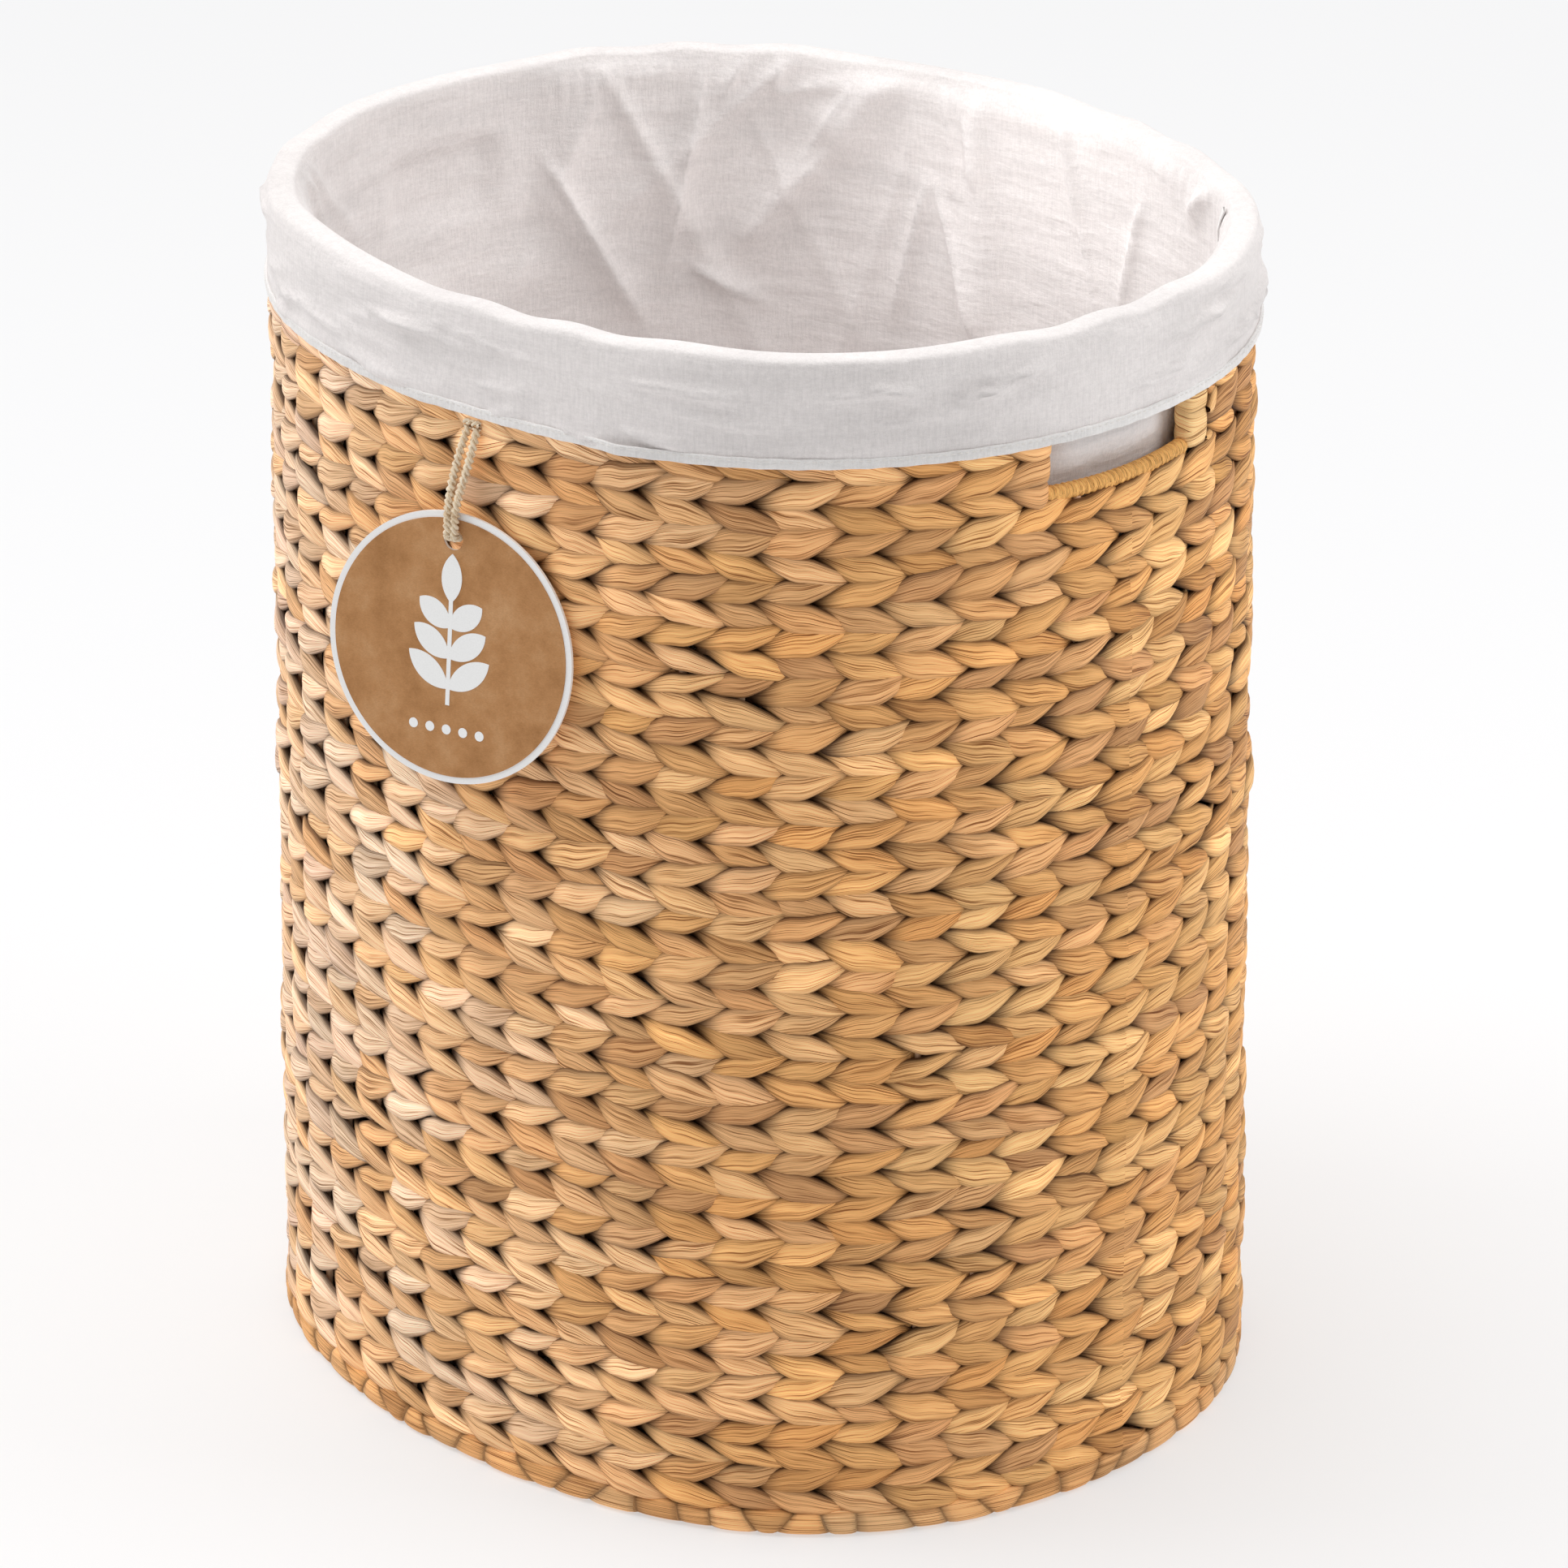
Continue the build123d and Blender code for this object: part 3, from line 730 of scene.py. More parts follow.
def handle_rail(surface, end, chance):
    """Thin strand wound close along the bar under a hand hole."""
    rings = int(2 * HANDLE_HALF_WIDTH / RAIL_PITCH * 10)
    run = np.linspace(-1, 1, rings)
    share = end + run * (HANDLE_HALF_WIDTH + 0.001) / ROUND
    angles = circle(16)
    turned = run[:, None] * HANDLE_HALF_WIDTH * tau / RAIL_PITCH
    ridge = np.abs(np.cos((turned + angles + chance.normal(0, 0.15, rings)[:, None]) / 2)) ** 1.4
    radius = RAIL_RADIUS * (1.02 - 0.12 * ridge)
    sag = RAIL_SAG * (1 - run**2)
    grid = wall(share[:, None], STAKE_DEPTH - radius * np.cos(angles),
                RAIL_Z - sag[:, None] + radius * np.sin(angles))
    # painted shade in the grooves between turns, where ridge is high and the cord is drawn in
    surface.add(grid, run * HANDLE_HALF_WIDTH * 9, unrolled(16, 0.025), chance.random(), 0.35 * ridge,
                closed=False)


def handle_post(surface, end, chance):
    """Flat strand wound round one post in slow turns, each a soft bulge."""
    across, through = POST_WRAP
    inset, edge, lap = 0.0012, 0.0055, 0.8
    low, high = RAIL_Z - 0.001, POST_TOP
    turns = (high - low) / POST_PITCH + 0.9
    angle = np.linspace(0, turns * tau, int(turns * 36))
    ring = circle(12)
    face, side = np.cos(ring) * POST_STRAND_HALF[0], np.sin(ring) * POST_STRAND_HALF[1]
    narrow = np.minimum(1, 0.1 + from_ends(angle) / 8) * (1 + 0.08 * np.sin(angle * 1.7))
    climb = np.clip(angle / tau - lap, 0, turns - 2 * lap) / (turns - 2 * lap)
    z = low + edge + climb * (high - low - 2 * edge) + 0.0006 * np.sin(angle * 0.7)
    z = (z + 0.0014 * np.cos(angle))[:, None] + side * narrow[:, None]
    out_x, out_y = np.cos(angle)[:, None], np.sin(angle)[:, None]
    x = (across / 2 - inset) * squared(out_x, 0.6) + face * out_x
    y = (through / 2 - inset) * squared(out_y, 0.6) + face * out_y
    share = end + POST_STAKES / STAKES + x / ROUND
    grid = wall(share, STAKE_DEPTH - y, np.clip(z, low, high))
    # painted shade along both edges of the flat strand
    shade = 0.9 * np.abs(np.sin(ring)) ** 6 + 0 * z
    along = angle / tau * 2 * (across + through) * 0.85
    surface.add(grid, along, unrolled(12, 0.03), chance.random(), shade, closed=False)


def handle_windings(wind, name, node, seed, material):
    """The windings at both hand holes, each made by wind."""
    surface = Surface()
    chance = np.random.default_rng(seed)
    for end in (0, 0.5):
        wind(surface, end, chance)
    return surface.piece(name, material, "basket", "handle_cord", [node])


# ---- the liner
LINER_COLUMNS = 640
# rings of points low in the bag, in its creased top part, over the rim, and down the cuff
LOW_ROWS, HIGH_ROWS, FOLD_ROWS, CUFF_ROWS = 26, 86, 12, 26
CREASED = 0.24  # how far down the bag its creases are fine
CLOTH_MIDDLE = BAG_DEPTH + CLOTH / 2
CUFF_MIDDLE = -0.0008 - CLOTH / 2
FOLD_RADIUS = 0.0052


def liner_path():
    """Depths and heights from the bag's foot over the rim to the hem, and 1 on the bag's rows."""
    top = FOLD_TOP - CLOTH / 2 - FOLD_RADIUS
    low = np.linspace(LINER_BOTTOM + 0.001, top - CREASED, LOW_ROWS, endpoint=False)
    rows = [(CLOTH_MIDDLE, z, 1) for z in (*low, *np.linspace(top - CREASED, top, HIGH_ROWS))]
    middle, half = (CLOTH_MIDDLE + CUFF_MIDDLE) / 2, (CLOTH_MIDDLE - CUFF_MIDDLE) / 2
    for angle in np.linspace(0, pi, FOLD_ROWS + 1)[1:-1]:
        rows.append((middle + half * squared(cos(angle), 0.6), top + FOLD_RADIUS * sin(angle) ** 0.6, 0))
    rows += [(CUFF_MIDDLE, z, 0) for z in np.linspace(top, HEM_BOTTOM + 0.0008, CUFF_ROWS)]
    return np.array(rows)


def share_at(angle):
    """The share of the way round at which the wall is seen in a direction from the middle."""
    shares = np.linspace(0, 1, 721)
    spots, _ = rim_line(shares[:-1])
    seen = np.unwrap(np.arctan2(spots[:, 1], spots[:, 0]))
    return float(np.interp(angle % tau, seen - seen[0], shares[:-1]))


def fold_line(share, down, start, end, width, height, sharp=1.0):
    """A crease along a line on the cloth, from start to end as (share, down) places."""
    x = (np.mod(share - start[0] + 0.5, 1) - 0.5) * ROUND
    run = np.array([(np.mod(end[0] - start[0] + 0.5, 1) - 0.5) * ROUND, end[1] - start[1]])
    length = np.hypot(*run)
    run = run / length
    along = (x * run[0] + (down - start[1]) * run[1]) / length
    off = np.abs(x * run[1] - (down - start[1]) * run[0])
    fade = ease(-0.12, 0.15, along) * (1 - ease(0.7, 1.1, along))
    grown = width * (0.5 + 0.8 * np.clip(along, 0, 1))
    return height * fade * np.exp(-((off / grown) ** (1 + sharp)))


# the bag's own creases: where each starts and ends, as (share, way down), how wide and how high
CREASES = [
    ((0.315, 0.000), (0.345, 0.055), 0.014, 0.009, 0.9),  # the broad fold that slants to the left
    ((0.345, 0.055), (0.380, 0.110), 0.011, 0.008, 0.5),
    ((0.329, 0.008), (0.378, 0.107), 0.004, 0.004, 0.0),  # its sharp lower edge
    ((0.371, -0.01), (0.386, 0.030), 0.004, 0.005, 0.1),  # the small folds at its left
    ((0.361, -0.01), (0.364, 0.026), 0.003, 0.004, 0.1),
    ((0.364, 0.024), (0.332, 0.012), 0.003, 0.004, 0.1),
    ((0.284, 0.020), (0.276, 0.055), 0.004, 0.004, 0.2),
    ((0.240, 0.000), (0.225, 0.065), 0.005, 0.006, 0.1),  # the long crease on the right
    ((0.226, 0.060), (0.214, 0.110), 0.004, 0.005, 0.1),
    ((0.296, 0.062), (0.273, 0.140), 0.005, 0.006, 0.1),  # two that part downwards
    ((0.301, 0.060), (0.317, 0.140), 0.005, 0.006, 0.1),
    ((0.193, 0.035), (0.205, 0.100), 0.005, 0.005, 0.1),
    ((0.134, -0.01), (0.162, 0.030), 0.006, 0.006, 0.5),
    ((0.396, 0.117), (0.365, 0.138), 0.004, 0.006, 0.1),  # two that meet low on the left
    ((0.457, 0.050), (0.413, 0.152), 0.006, 0.007, 0.1),
    ((0.392, 0.018), (0.409, 0.126), 0.006, 0.006, 0.2),
    ((0.498, 0.033), (0.460, 0.090), 0.008, 0.006, 0.3),
]


def chance_creases(chance):
    """Creases at chance places: long ones down from the rim, and shorter ones low in the bag."""
    for _ in range(34):
        at, top = chance.random(), chance.uniform(0.0, 0.05)
        run, lean = chance.uniform(0.06, 0.26), chance.normal(0, 0.10)
        yield ((at, top), (at + lean, top + run), chance.uniform(0.004, 0.012),
               chance.uniform(0.0015, 0.0060), chance.uniform(0.2, 1))
    for _ in range(26):
        at, top = chance.random(), chance.uniform(0.15, 0.5)
        end = (at + chance.normal(0, 0.06), top + chance.uniform(-0.1, 0.1))
        yield (at, top), end, chance.uniform(0.006, 0.02), chance.uniform(0.002, 0.005)


def cuff_wrinkles(chance):
    """Low wrinkles that run along the cuff."""
    for _ in range(110):
        at, top = chance.random(), chance.uniform(0.004, 0.052)
        run = chance.uniform(0.012, 0.05)
        end = (at + run, top + chance.normal(0, 0.006))
        yield (at, top), end, chance.uniform(0.0016, 0.0042), chance.uniform(0.0010, 0.0034)


def creased(share, down, creases):
    """How far the cloth stands out at each place, over all of these creases."""
    total = np.zeros(np.broadcast(share, down).shape)
    for crease in creases:
        total += fold_line(share, down, *crease)
    return total


def puckers(share, down):
    """The cloth gathered in small pleats where it meets the rim, more on two sides."""
    pleats = np.sin(tau * 61 * share + 4 * np.sin(tau * 7 * share)) ** 2
    gathered = np.sin(tau * (1.5 * share + 0.06)) ** 4
    return 0.0024 * pleats * gathered * np.exp(-down / 0.014)


def off_hole(share):
    """How far along the wall a place is from the middle of the nearer hand hole."""
    return np.abs(np.mod(share + 0.25, 0.5) - 0.25) * ROUND


def bag_folds(share, down):
    """How far the bag's cloth stands in from the wall: creases, slack and puckers.

    It lies flatter beside a hand hole, and bulges a little way out through it.
    """
    chance = np.random.default_rng(21)
    total = creased(share, down, (*CREASES, *chance_creases(chance)))
    for count, size in ((5, 0.0035), (9, 0.0022), (17, 0.0010)):
        total += size * (1 + np.sin(tau * (count * share + chance.random()) + 5 * down)) / 2
    total += puckers(share, down)
    beside = off_hole(share)
    flat = (1 - ease(0.055, 0.085, beside)) * (1 - ease(0.085, 0.115, down))
    level = ease(0.030, 0.045, down) * (1 - ease(0.064, 0.082, down))
    bulge = 0.005 * (1 - ease(0.026, 0.046, beside)) * level
    return total * ease(0.0, 0.014, down) * (1 - 0.9 * flat) - bulge


def cuff_folds(share, down):
    """How far the cuff's cloth stands out from the wall."""
    total = creased(share, down, cuff_wrinkles(np.random.default_rng(33)))
    total += 0.0008 * (1 + np.sin(tau * (7 * share + 0.3)))
    return total * ease(0.001, 0.012, down)


def liner_cloth(material):
    """Bag, fold and cuff as one cloth, hung over the rim."""
    path = liner_path()
    depth, z, bag = (path[:, part, None] for part in range(3))
    share = (np.arange(LINER_COLUMNS) / LINER_COLUMNS)[None, :]
    down = np.clip(FOLD_TOP - z, 0, None)
    inward = np.where(bag == 1, bag_folds(share, down) + SLOPE * (RIM_TOP - z), 0)
    outward = np.where(z < path[-CUFF_ROWS, 1] + 1e-6, cuff_folds(share, down), 0) * (bag == 0)
    dip = 0.0009 * (1 + np.sin(tau * 17 * share + 2.5 * np.sin(tau * 5 * share)))
    grid = wall(share, depth + inward - outward, z - dip * (1 - ease(0.004, 0.03, down)))
    along = np.concatenate([[0], np.cumsum(np.hypot(*np.diff(path[:, :2], axis=0).T))])
    surface = Surface()
    surface.add(grid, along, unrolled(LINER_COLUMNS, ROUND), closed=False)
    return surface.piece("liner_cloth", material, "liner", "liner_cloth",
                         ["liner_bag_wall", "liner_rim_fold", "liner_cuff"])


def liner_hem(material):
    """The turned-up edge of the cuff, a flattened roll that follows the cuff's wrinkles."""
    columns = LINER_COLUMNS
    share = (np.arange(columns) / columns)[:, None]
    profile = rounded_profile(0, 0.0016, 0, HEM_TOP - HEM_BOTTOM + 0.0012, 0.0007, steps=3)
    out = cuff_folds(share, FOLD_TOP - HEM_BOTTOM + 0 * share)
    pucker = 0.00025 * np.abs(np.sin(tau * 210 * share + 3 * np.sin(tau * 17 * share)))
    depth = -0.0026 + profile[:, 0] - out - pucker
    z = HEM_BOTTOM + profile[:, 1] - 0.0003 * np.sin(tau * 45 * share) ** 2
    surface = Surface()
    surface.add(wall(share, depth, z), unrolled(columns, ROUND), np.arange(len(profile) + 1) * 0.001)
    return surface.piece("liner_hem", material, "liner", "liner_cloth", ["liner_cuff_hem"])


def hem_stitches(material):
    """A row of straight stitches just under the hem's upper edge."""
    surface = Surface()
    length, gap = 0.0026, 0.0009
    count = int(ROUND / (length + gap))
    ring = circle(6)
    run = np.linspace(0, 1, 5)
    for number in range(count):
        share = (number + run * length / (length + gap)) / count
        dip = 0.00028 * np.sin(pi * run)
        out = cuff_folds(share[:, None], np.full((len(run), 1), FOLD_TOP - HEM_BOTTOM))
        thick = 0.00018 * (0.5 + np.sin(pi * run))[:, None]
        depth = -0.0027 - dip[:, None] - out - thick * np.cos(ring)
        z = HEM_TOP - 0.0002 + thick * np.sin(ring)
        surface.add(wall(share[:, None], depth, z), run, unrolled(6, 1), closed=False)
    return surface.piece("hem_stitches", material, "liner", "liner_thread", ["liner_cuff_hem"])


def liner_floor(material):
    """The bag's oval floor, laid on the base with slack wrinkles."""
    rings, columns = 40, 200
    width, length = 0.006, 0.05
    part = np.linspace(0.004, 1, rings)[:, None]
    share = (np.arange(columns) / columns)[None, :]
    rim, out = rim_line(share)
    edge = rim - out * (BAG_DEPTH + CLOTH + 0.0004)
    flat = edge * part[..., None]
    chance = np.random.default_rng(44)
    height = np.zeros((rings, columns))
    for _ in range(34):
        spot, way = chance.uniform(-0.2, 0.2, 2), chance.uniform(0, pi)
        x, y = flat[..., 0] - spot[0], flat[..., 1] - spot[1]
        off = x * sin(way) - y * cos(way)
        along = x * cos(way) + y * sin(way)
        ridge = np.exp(-((off / width) ** 2) - (along / length) ** 2)
        height += chance.uniform(0.0008, 0.003) * ridge
    z = LINER_BOTTOM + CLOTH * 0.6 + height * (1 - part**4)
    surface = Surface()
    grid = np.concatenate([flat, z[..., None]], axis=-1)
    surface.add(grid, np.arange(rings) * 0.005, np.arange(columns + 1) * 0.007, closed=False)
    return surface.piece("liner_floor", material, "liner", "liner_cloth", ["liner_floor_panel"])


def liner_floor_seam(material):
    """The turned-in edges all round the floor, slightly gathered."""
    columns = 360
    share = (np.arange(columns) / columns)[:, None]
    low, high = heights("liner_floor_seam")
    profile = rounded_profile(0, 0.0078, 0, high - low, 0.0004, steps=2)
    wave = 0.0006 * (1 + np.sin(tau * 90 * share + 2 * np.sin(tau * 13 * share)))
    away = profile[:, 0] / profile[:, 0].max()
    depth = BAG_DEPTH + CLOTH + 0.0006 + profile[:, 0] + SLOPE * (RIM_TOP - low)
    z = low + profile[:, 1] + wave * away
    surface = Surface()
    surface.add(wall(share, depth, z), np.arange(columns + 1) * 0.004, np.arange(len(profile) + 1) * 0.001)
    return surface.piece("liner_floor_seam_tape", material, "liner", "liner_thread", ["liner_floor_seam"])


def liner_side_seam(material):
    """The turned-in edges where the side panel's ends meet, down the inside."""
    low, high = heights("liner_side_seam")
    z = np.linspace(low, high - 0.002, 120)[:, None]
    profile = rounded_profile(-0.0038, 0.0038, 0, 0.0009, 0.0003, steps=2)
    share = share_at(SEAM_ANGLE) + profile[:, 0] / ROUND + 0.0006 / ROUND * np.sin(z * 90)
    cloth = bag_folds(share, FOLD_TOP - z)
    depth = CLOTH_MIDDLE + CLOTH * 0.3 + cloth + profile[:, 1] + SLOPE * (RIM_TOP - z)
    surface = Surface()
    surface.add(wall(share, depth, z), np.arange(len(z)) * 0.005, np.arange(len(profile) + 1) * 0.001,
                closed=False)
    return surface.piece("liner_side_seam_tape", material, "liner", "liner_thread", ["liner_side_seam"])


# ---- the twine
FLUFF = 1.3  # how much thicker loose jute looks than its hard core
TAG_OUT = Vector((cos(TAG_LEAN) * cos(TAG_TURN), cos(TAG_LEAN) * sin(TAG_TURN), sin(TAG_LEAN)))
TAG_ACROSS = Vector((-sin(TAG_TURN), cos(TAG_TURN), 0))
TAG_UP = TAG_OUT.cross(TAG_ACROSS)


def tag_place(across, up, out):
    """A point given in the tag's own directions."""
    return TAG_CENTRE + TAG_ACROSS * across + TAG_UP * up + TAG_OUT * out


def smooth_line(points, count=90):
    """Points along a NURBS curve that a few route points pull into shape."""
    data = bpy.data.curves.new("route", "CURVE")
    data.dimensions = "3D"
    data.resolution_u = 24
    spline = data.splines.new("NURBS")
    spline.points.add(len(points) - 1)
    for point, spot in zip(spline.points, points):
        point.co = (*spot, 1)
    spline.order_u = 3
    spline.use_endpoint_u = True
    route = bpy.data.objects.new("route", data)
    mesh = bpy.data.meshes.new_from_object(route)
    found = np.array([vertex.co for vertex in mesh.vertices])
    bpy.data.objects.remove(route)
    bpy.data.meshes.remove(mesh)
    bpy.data.curves.remove(data)
    reach = np.concatenate([[0], np.cumsum(np.linalg.norm(np.diff(found, axis=0), axis=1))])
    even = np.linspace(0, reach[-1], count)
    return np.stack([np.interp(even, reach, found[:, axis]) for axis in range(3)], axis=-1), reach[-1]


def tube(surface, line, sides, thick, aside, above, along, width, tone):
    """A tube round a line, so thick in two directions square to it, with so many sides."""
    ring = circle(sides)
    grid = (line[:, None, :] + (thick * np.cos(ring))[..., None] * aside
            + (thick * np.sin(ring))[..., None] * above)
    surface.add(grid, along, unrolled(sides, width), tone, closed=False)


def twisted(surface, line, length, radius, chance):
    """Two yarns twisted into a twine along a line."""
    plies, pitch, sides = 2, 0.0062, 9
    ahead = np.gradient(line, axis=0)
    ahead /= np.linalg.norm(ahead, axis=1)[:, None]
    aside = np.cross(ahead, [0.21, 0.09, 0.97])
    aside /= np.linalg.norm(aside, axis=1)[:, None]
    above = np.cross(aside, ahead)
    travelled = np.linspace(0, length, len(line))
    for ply in range(plies):
        turn = tau * (travelled / pitch + ply / plies)
        core = line + radius * 0.48 * (np.cos(turn)[:, None] * aside + np.sin(turn)[:, None] * above)
        rough = 1 + 0.16 * np.sin(travelled * 2600 + 9 * chance.random())
        thick = radius * 0.60 * rough[:, None] * (1 + 0.08 * np.cos(3 * circle(sides)))
        tube(surface, core, sides, thick, aside[:, None, :], above[:, None, :], travelled, 0.006,
             chance.random())


def unit(direction):
    """A direction with a length of 1."""
    return direction / np.linalg.norm(direction)


def fuzz(surface, line, chance, count, length=0.004):
    """Loose jute hairs that stand off a twine, each curving to one side."""
    run = np.linspace(0, 1, 6)[:, None]
    for _ in range(count):
        start = line[chance.integers(2, len(line) - 2)]
        way = unit(chance.normal(0, 1, 3))
        side = unit(np.cross(way, chance.normal(0, 1, 3)))
        size = length * chance.uniform(0.4, 1.0)
        hair = start + size * (way * run + side * run**2 * 0.5)
        thin = 0.00005 * (1.1 - run)
        tube(surface, hair, 3, thin, side, np.cross(way, side), run[:, 0] * size, 0.001, 0.9)


def twine_anchor():
    """Where the twine is tied to the weave, and the direction of the wall there."""
    low, high = (Vector(corner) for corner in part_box("twine_bight"))
    middle = (low + high) / 2
    centre = ARCS[7]  # of the long arc in front
    way = Vector((middle.x - centre[0], middle.y - centre[1], 0)).normalized()
    return middle, Vector((-way.y, way.x, 0))


def tag_twine(material):
    """Two strands from under the hem, down over the tag's border and in at its hole."""
    surface = Surface()
    chance = np.random.default_rng(9)
    middle, across = twine_anchor()
    above = 0.0004 + TWINE_RADIUS + 0.0006
    for side in (-1, 1):
        spread = side * TWINE_SPREAD
        route = [
            middle + across * spread * 1.6 - Vector((0, 0, TWINE_RADIUS + 0.0005)),
            middle.lerp(tag_place(spread, TAG_RADIUS + 0.004, above), 0.45) + across * side * 0.0030,
            tag_place(spread * 1.2, TAG_RADIUS + 0.004, above + 0.0006),
            tag_place(spread, TAG_HOLE_UP + 0.0038, above + 0.0003),
            tag_place(spread, TAG_HOLE_UP + 0.0008, above),
            tag_place(spread, TAG_HOLE_UP + 0.0008, -0.0036),
        ]
        line, length = smooth_line(route)
        twisted(surface, line, length, TWINE_RADIUS * FLUFF, chance)
        fuzz(surface, line, chance, 40)
    return surface.piece("jute_twine", material, "hang_tag", "jute", ["tag_twine"])


def twine_knot(material):
    """The overhand knot behind the tag that holds the two ends."""
    surface = Surface()
    low, high = (Vector(corner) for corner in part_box("tag_twine_knot"))
    middle = (low + high) / 2
    turn = np.linspace(0, tau, 140)
    lobe = 0.0011 * (2 + np.cos(3 * turn))
    line = np.stack([lobe * np.cos(2 * turn), lobe * np.sin(2 * turn), 0.0015 * np.sin(3 * turn)], axis=-1)
    line = line * 0.72 + np.array(middle)
    chance = np.random.default_rng(10)
    twisted(surface, line, 0.045, 0.0011, chance)
    fuzz(surface, line, chance, 14, 0.003)
    return surface.piece("jute_knot", material, "hang_tag", "jute", ["tag_twine_knot"])


def twine_bight(material):
    """The short stretch tied round a strand of the weave."""
    surface = Surface()
    middle, across = twine_anchor()
    half = (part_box("twine_bight")[1][0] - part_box("twine_bight")[0][0]) / 2 - 0.0002
    run = np.linspace(-half, half, 40)
    line = np.array(middle) + run[:, None] * np.array(across)
    twisted(surface, line, 2 * half, TWINE_RADIUS, np.random.default_rng(11))
    return surface.piece("jute_bight", material, "tag_tie", "jute", ["twine_bight"])


def dress(nodes, material):
    """Gives CAD nodes that stay in view a better material."""
    for node in nodes:
        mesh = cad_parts[node].data
        mesh.materials.clear()
        mesh.materials.append(material)


# ---- set and camera
VIEW_TURN = 0.80  # how far the camera has gone round from the front, anticlockwise
VIEW_RISE = 0.4050  # how high it stands, as an angle
VIEW_AWAY = 3.5315  # from the basket's middle
VIEW_LIFT = 0.00145  # of that middle, over half the basket's height
VIEW_PAN = 0.0037  # how far it looks to the right of the middle
VIEW_PITCH = 0.4081  # and how far down
VIEW_LENS = 162.23  # focal length in millimetres


def add_camera():
    """A long lens at the height and side that show the cuff, a hand hole and the tag."""
    data = bpy.data.cameras.new("camera")
    data.lens = VIEW_LENS
    data.sensor_width = 36
    camera = link(bpy.data.objects.new("camera", data))
    middle = RIM_TOP / 2 + VIEW_LIFT
    flat = VIEW_AWAY * cos(VIEW_RISE)
    camera.location = (flat * sin(VIEW_TURN), -flat * cos(VIEW_TURN), middle + VIEW_AWAY * sin(VIEW_RISE))
    forward = Vector((sin(VIEW_PAN) * cos(VIEW_PITCH), cos(VIEW_PAN) * cos(VIEW_PITCH), -sin(VIEW_PITCH)))
    forward.rotate(Matrix.Rotation(VIEW_TURN, 3, "Z"))
    camera.rotation_euler = forward.to_track_quat("-Z", "Y").to_euler()
    bpy.context.scene.camera = camera


def add_lamp(name, kind, power, spot=(0, 0, 0), way=None):
    """A light of a kind at a spot, which shines one way or all round."""
    data = bpy.data.lights.new(name, kind)
    data.energy = power
    lamp = link(bpy.data.objects.new(name, data))
    lamp.location = spot
    if way:
        lamp.rotation_euler = way.to_track_quat("-Z", "Y").to_euler()
    return lamp


def add_floor():
    """The stage's pale floor, which glows a little so that it stays nearly white."""
    made = Nodes("studio_floor", roughness=0.8, specular=0.1)
    made.colour(rgb(170, 170, 171))
    made.shader.inputs["Emission Color"].default_value = (1, 1, 1, 1)
    made.shader.inputs["Emission Strength"].default_value = 0.51
    bpy.ops.mesh.primitive_plane_add(size=30, location=(0, 0, -0.0002))
    floor = bpy.context.object
    floor.name = "floor"
    floor.data.materials.append(made.material)


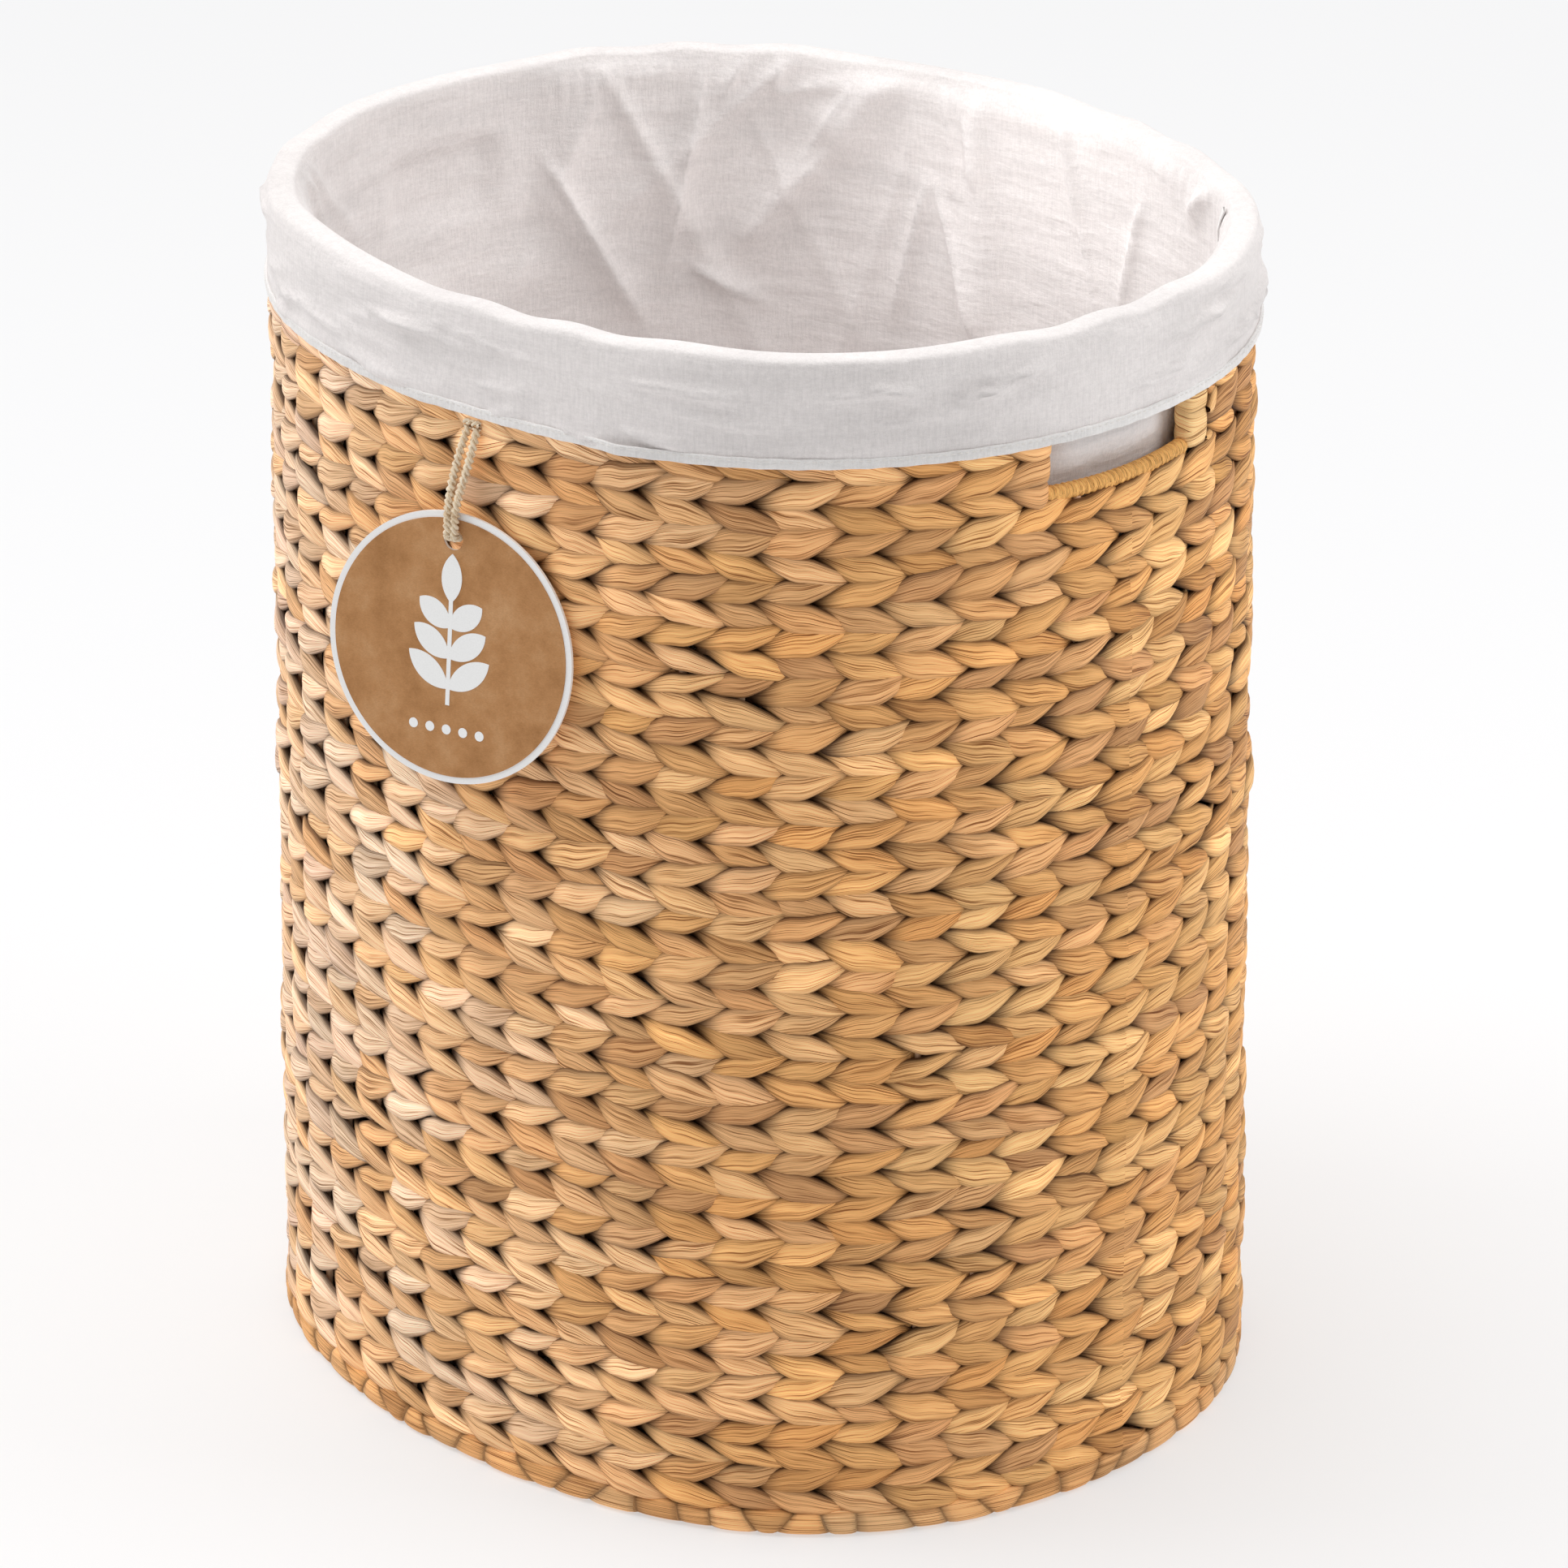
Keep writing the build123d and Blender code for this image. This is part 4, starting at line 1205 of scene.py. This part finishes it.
def add_set():
    """A white studio: an even dome, a broad light overhead and a soft box on each side.

    A faint lamp at the rim, unseen itself, stands in for the light that soaks into the bag.
    """
    scene = bpy.context.scene
    scene.view_settings.view_transform = "Standard"
    world = bpy.data.worlds.new("studio")
    world.use_nodes = True
    dome = world.node_tree.nodes["Background"].inputs
    dome["Color"].default_value = (1, 1, 1, 1)
    dome["Strength"].default_value = 0.36
    scene.world = world
    add_floor()
    left = Vector((cos(VIEW_TURN), sin(VIEW_TURN), 0)) * -1
    front = Vector((sin(VIEW_TURN), -cos(VIEW_TURN), 0))
    up = Vector((0, 0, 1))
    add_lamp("top_light", "SUN", 1.8, way=-(up * 2.2 + left * 0.5 - front * 0.3)).data.angle = radians(60)
    boxes = (("left_box", 17, left * 2.0 - front * 0.2 + up * 2.0),
             ("right_box", 20, left * -2.0 + front * 0.2 + up * 1.8))
    for name, power, spot in boxes:
        add_lamp(name, "AREA", power, spot, up * 0.35 - spot).data.size = 1.4
    glow = add_lamp("bag_glow", "POINT", 0.40, left * -0.07 - front * 0.05 + up * 0.60)
    glow.data.shadow_soft_size = 0.09
    glow.visible_camera = False


# ---- everything together
WEAVE = hyacinth("hyacinth_weave", WEAVE_TONES)
BINDING = hyacinth("hyacinth_binding", BINDING_TONES, dark=0.6)
HANDLE_CORD = hyacinth("handle_cord", HANDLE_TONES, fibre=(0.2, 0.5), dark=0.5)
POST_STRAND = hyacinth("handle_post_strand", POST_TONES, dark=0.6)
COTTON = cotton("liner_cotton")
SEAM_COTTON = cotton("liner_seam_cotton", (253, 250, 248))
THREAD = white_card("liner_thread", (240, 236, 232), 0.7)
JUTE = jute("jute")
STEEL = steel_wire("steel_wire")

for course in range(len(COURSES)):
    arrow_course(course, WEAVE)
foot_binding(BINDING)
rim = rim_binding(BINDING)
handle_windings(handle_rail, "wound_handle_rails", "handle_rail_wraps", 5, HANDLE_CORD)
handle_windings(handle_post, "wound_handle_posts", "handle_post_wraps", 6, POST_STRAND)
bag = liner_cloth(COTTON)
hem = liner_hem(SEAM_COTTON)
stitches = hem_stitches(THREAD)
floor_cloth = liner_floor(COTTON)
floor_seam = liner_floor_seam(SEAM_COTTON)
side_seam = liner_side_seam(SEAM_COTTON)
tag_twine(JUTE)
twine_knot(JUTE)
twine_bight(JUTE)
dress(["base_hoop", "rim_hoop", "frame_uprights", "handle_posts", "handle_rails", "base_cross_rods"], STEEL)
dress(["stakes"], hyacinth("hyacinth_stake", WEAVE_TONES[3:5]))
dress(["base_strips_crosswise"], plaited_strip("base_strip_crosswise", "y", BINDING_TONES))
dress(["base_strips_lengthwise"], plaited_strip("base_strip_lengthwise", "x", BINDING_TONES))
dress(["tag_backing_card"], white_card("tag_card"))
dress(["tag_kraft_face"], kraft_paper("tag_kraft"))
dress(["tag_print"], white_card("tag_print_ink", (254, 254, 253), 0.5))
add_set()
add_camera()
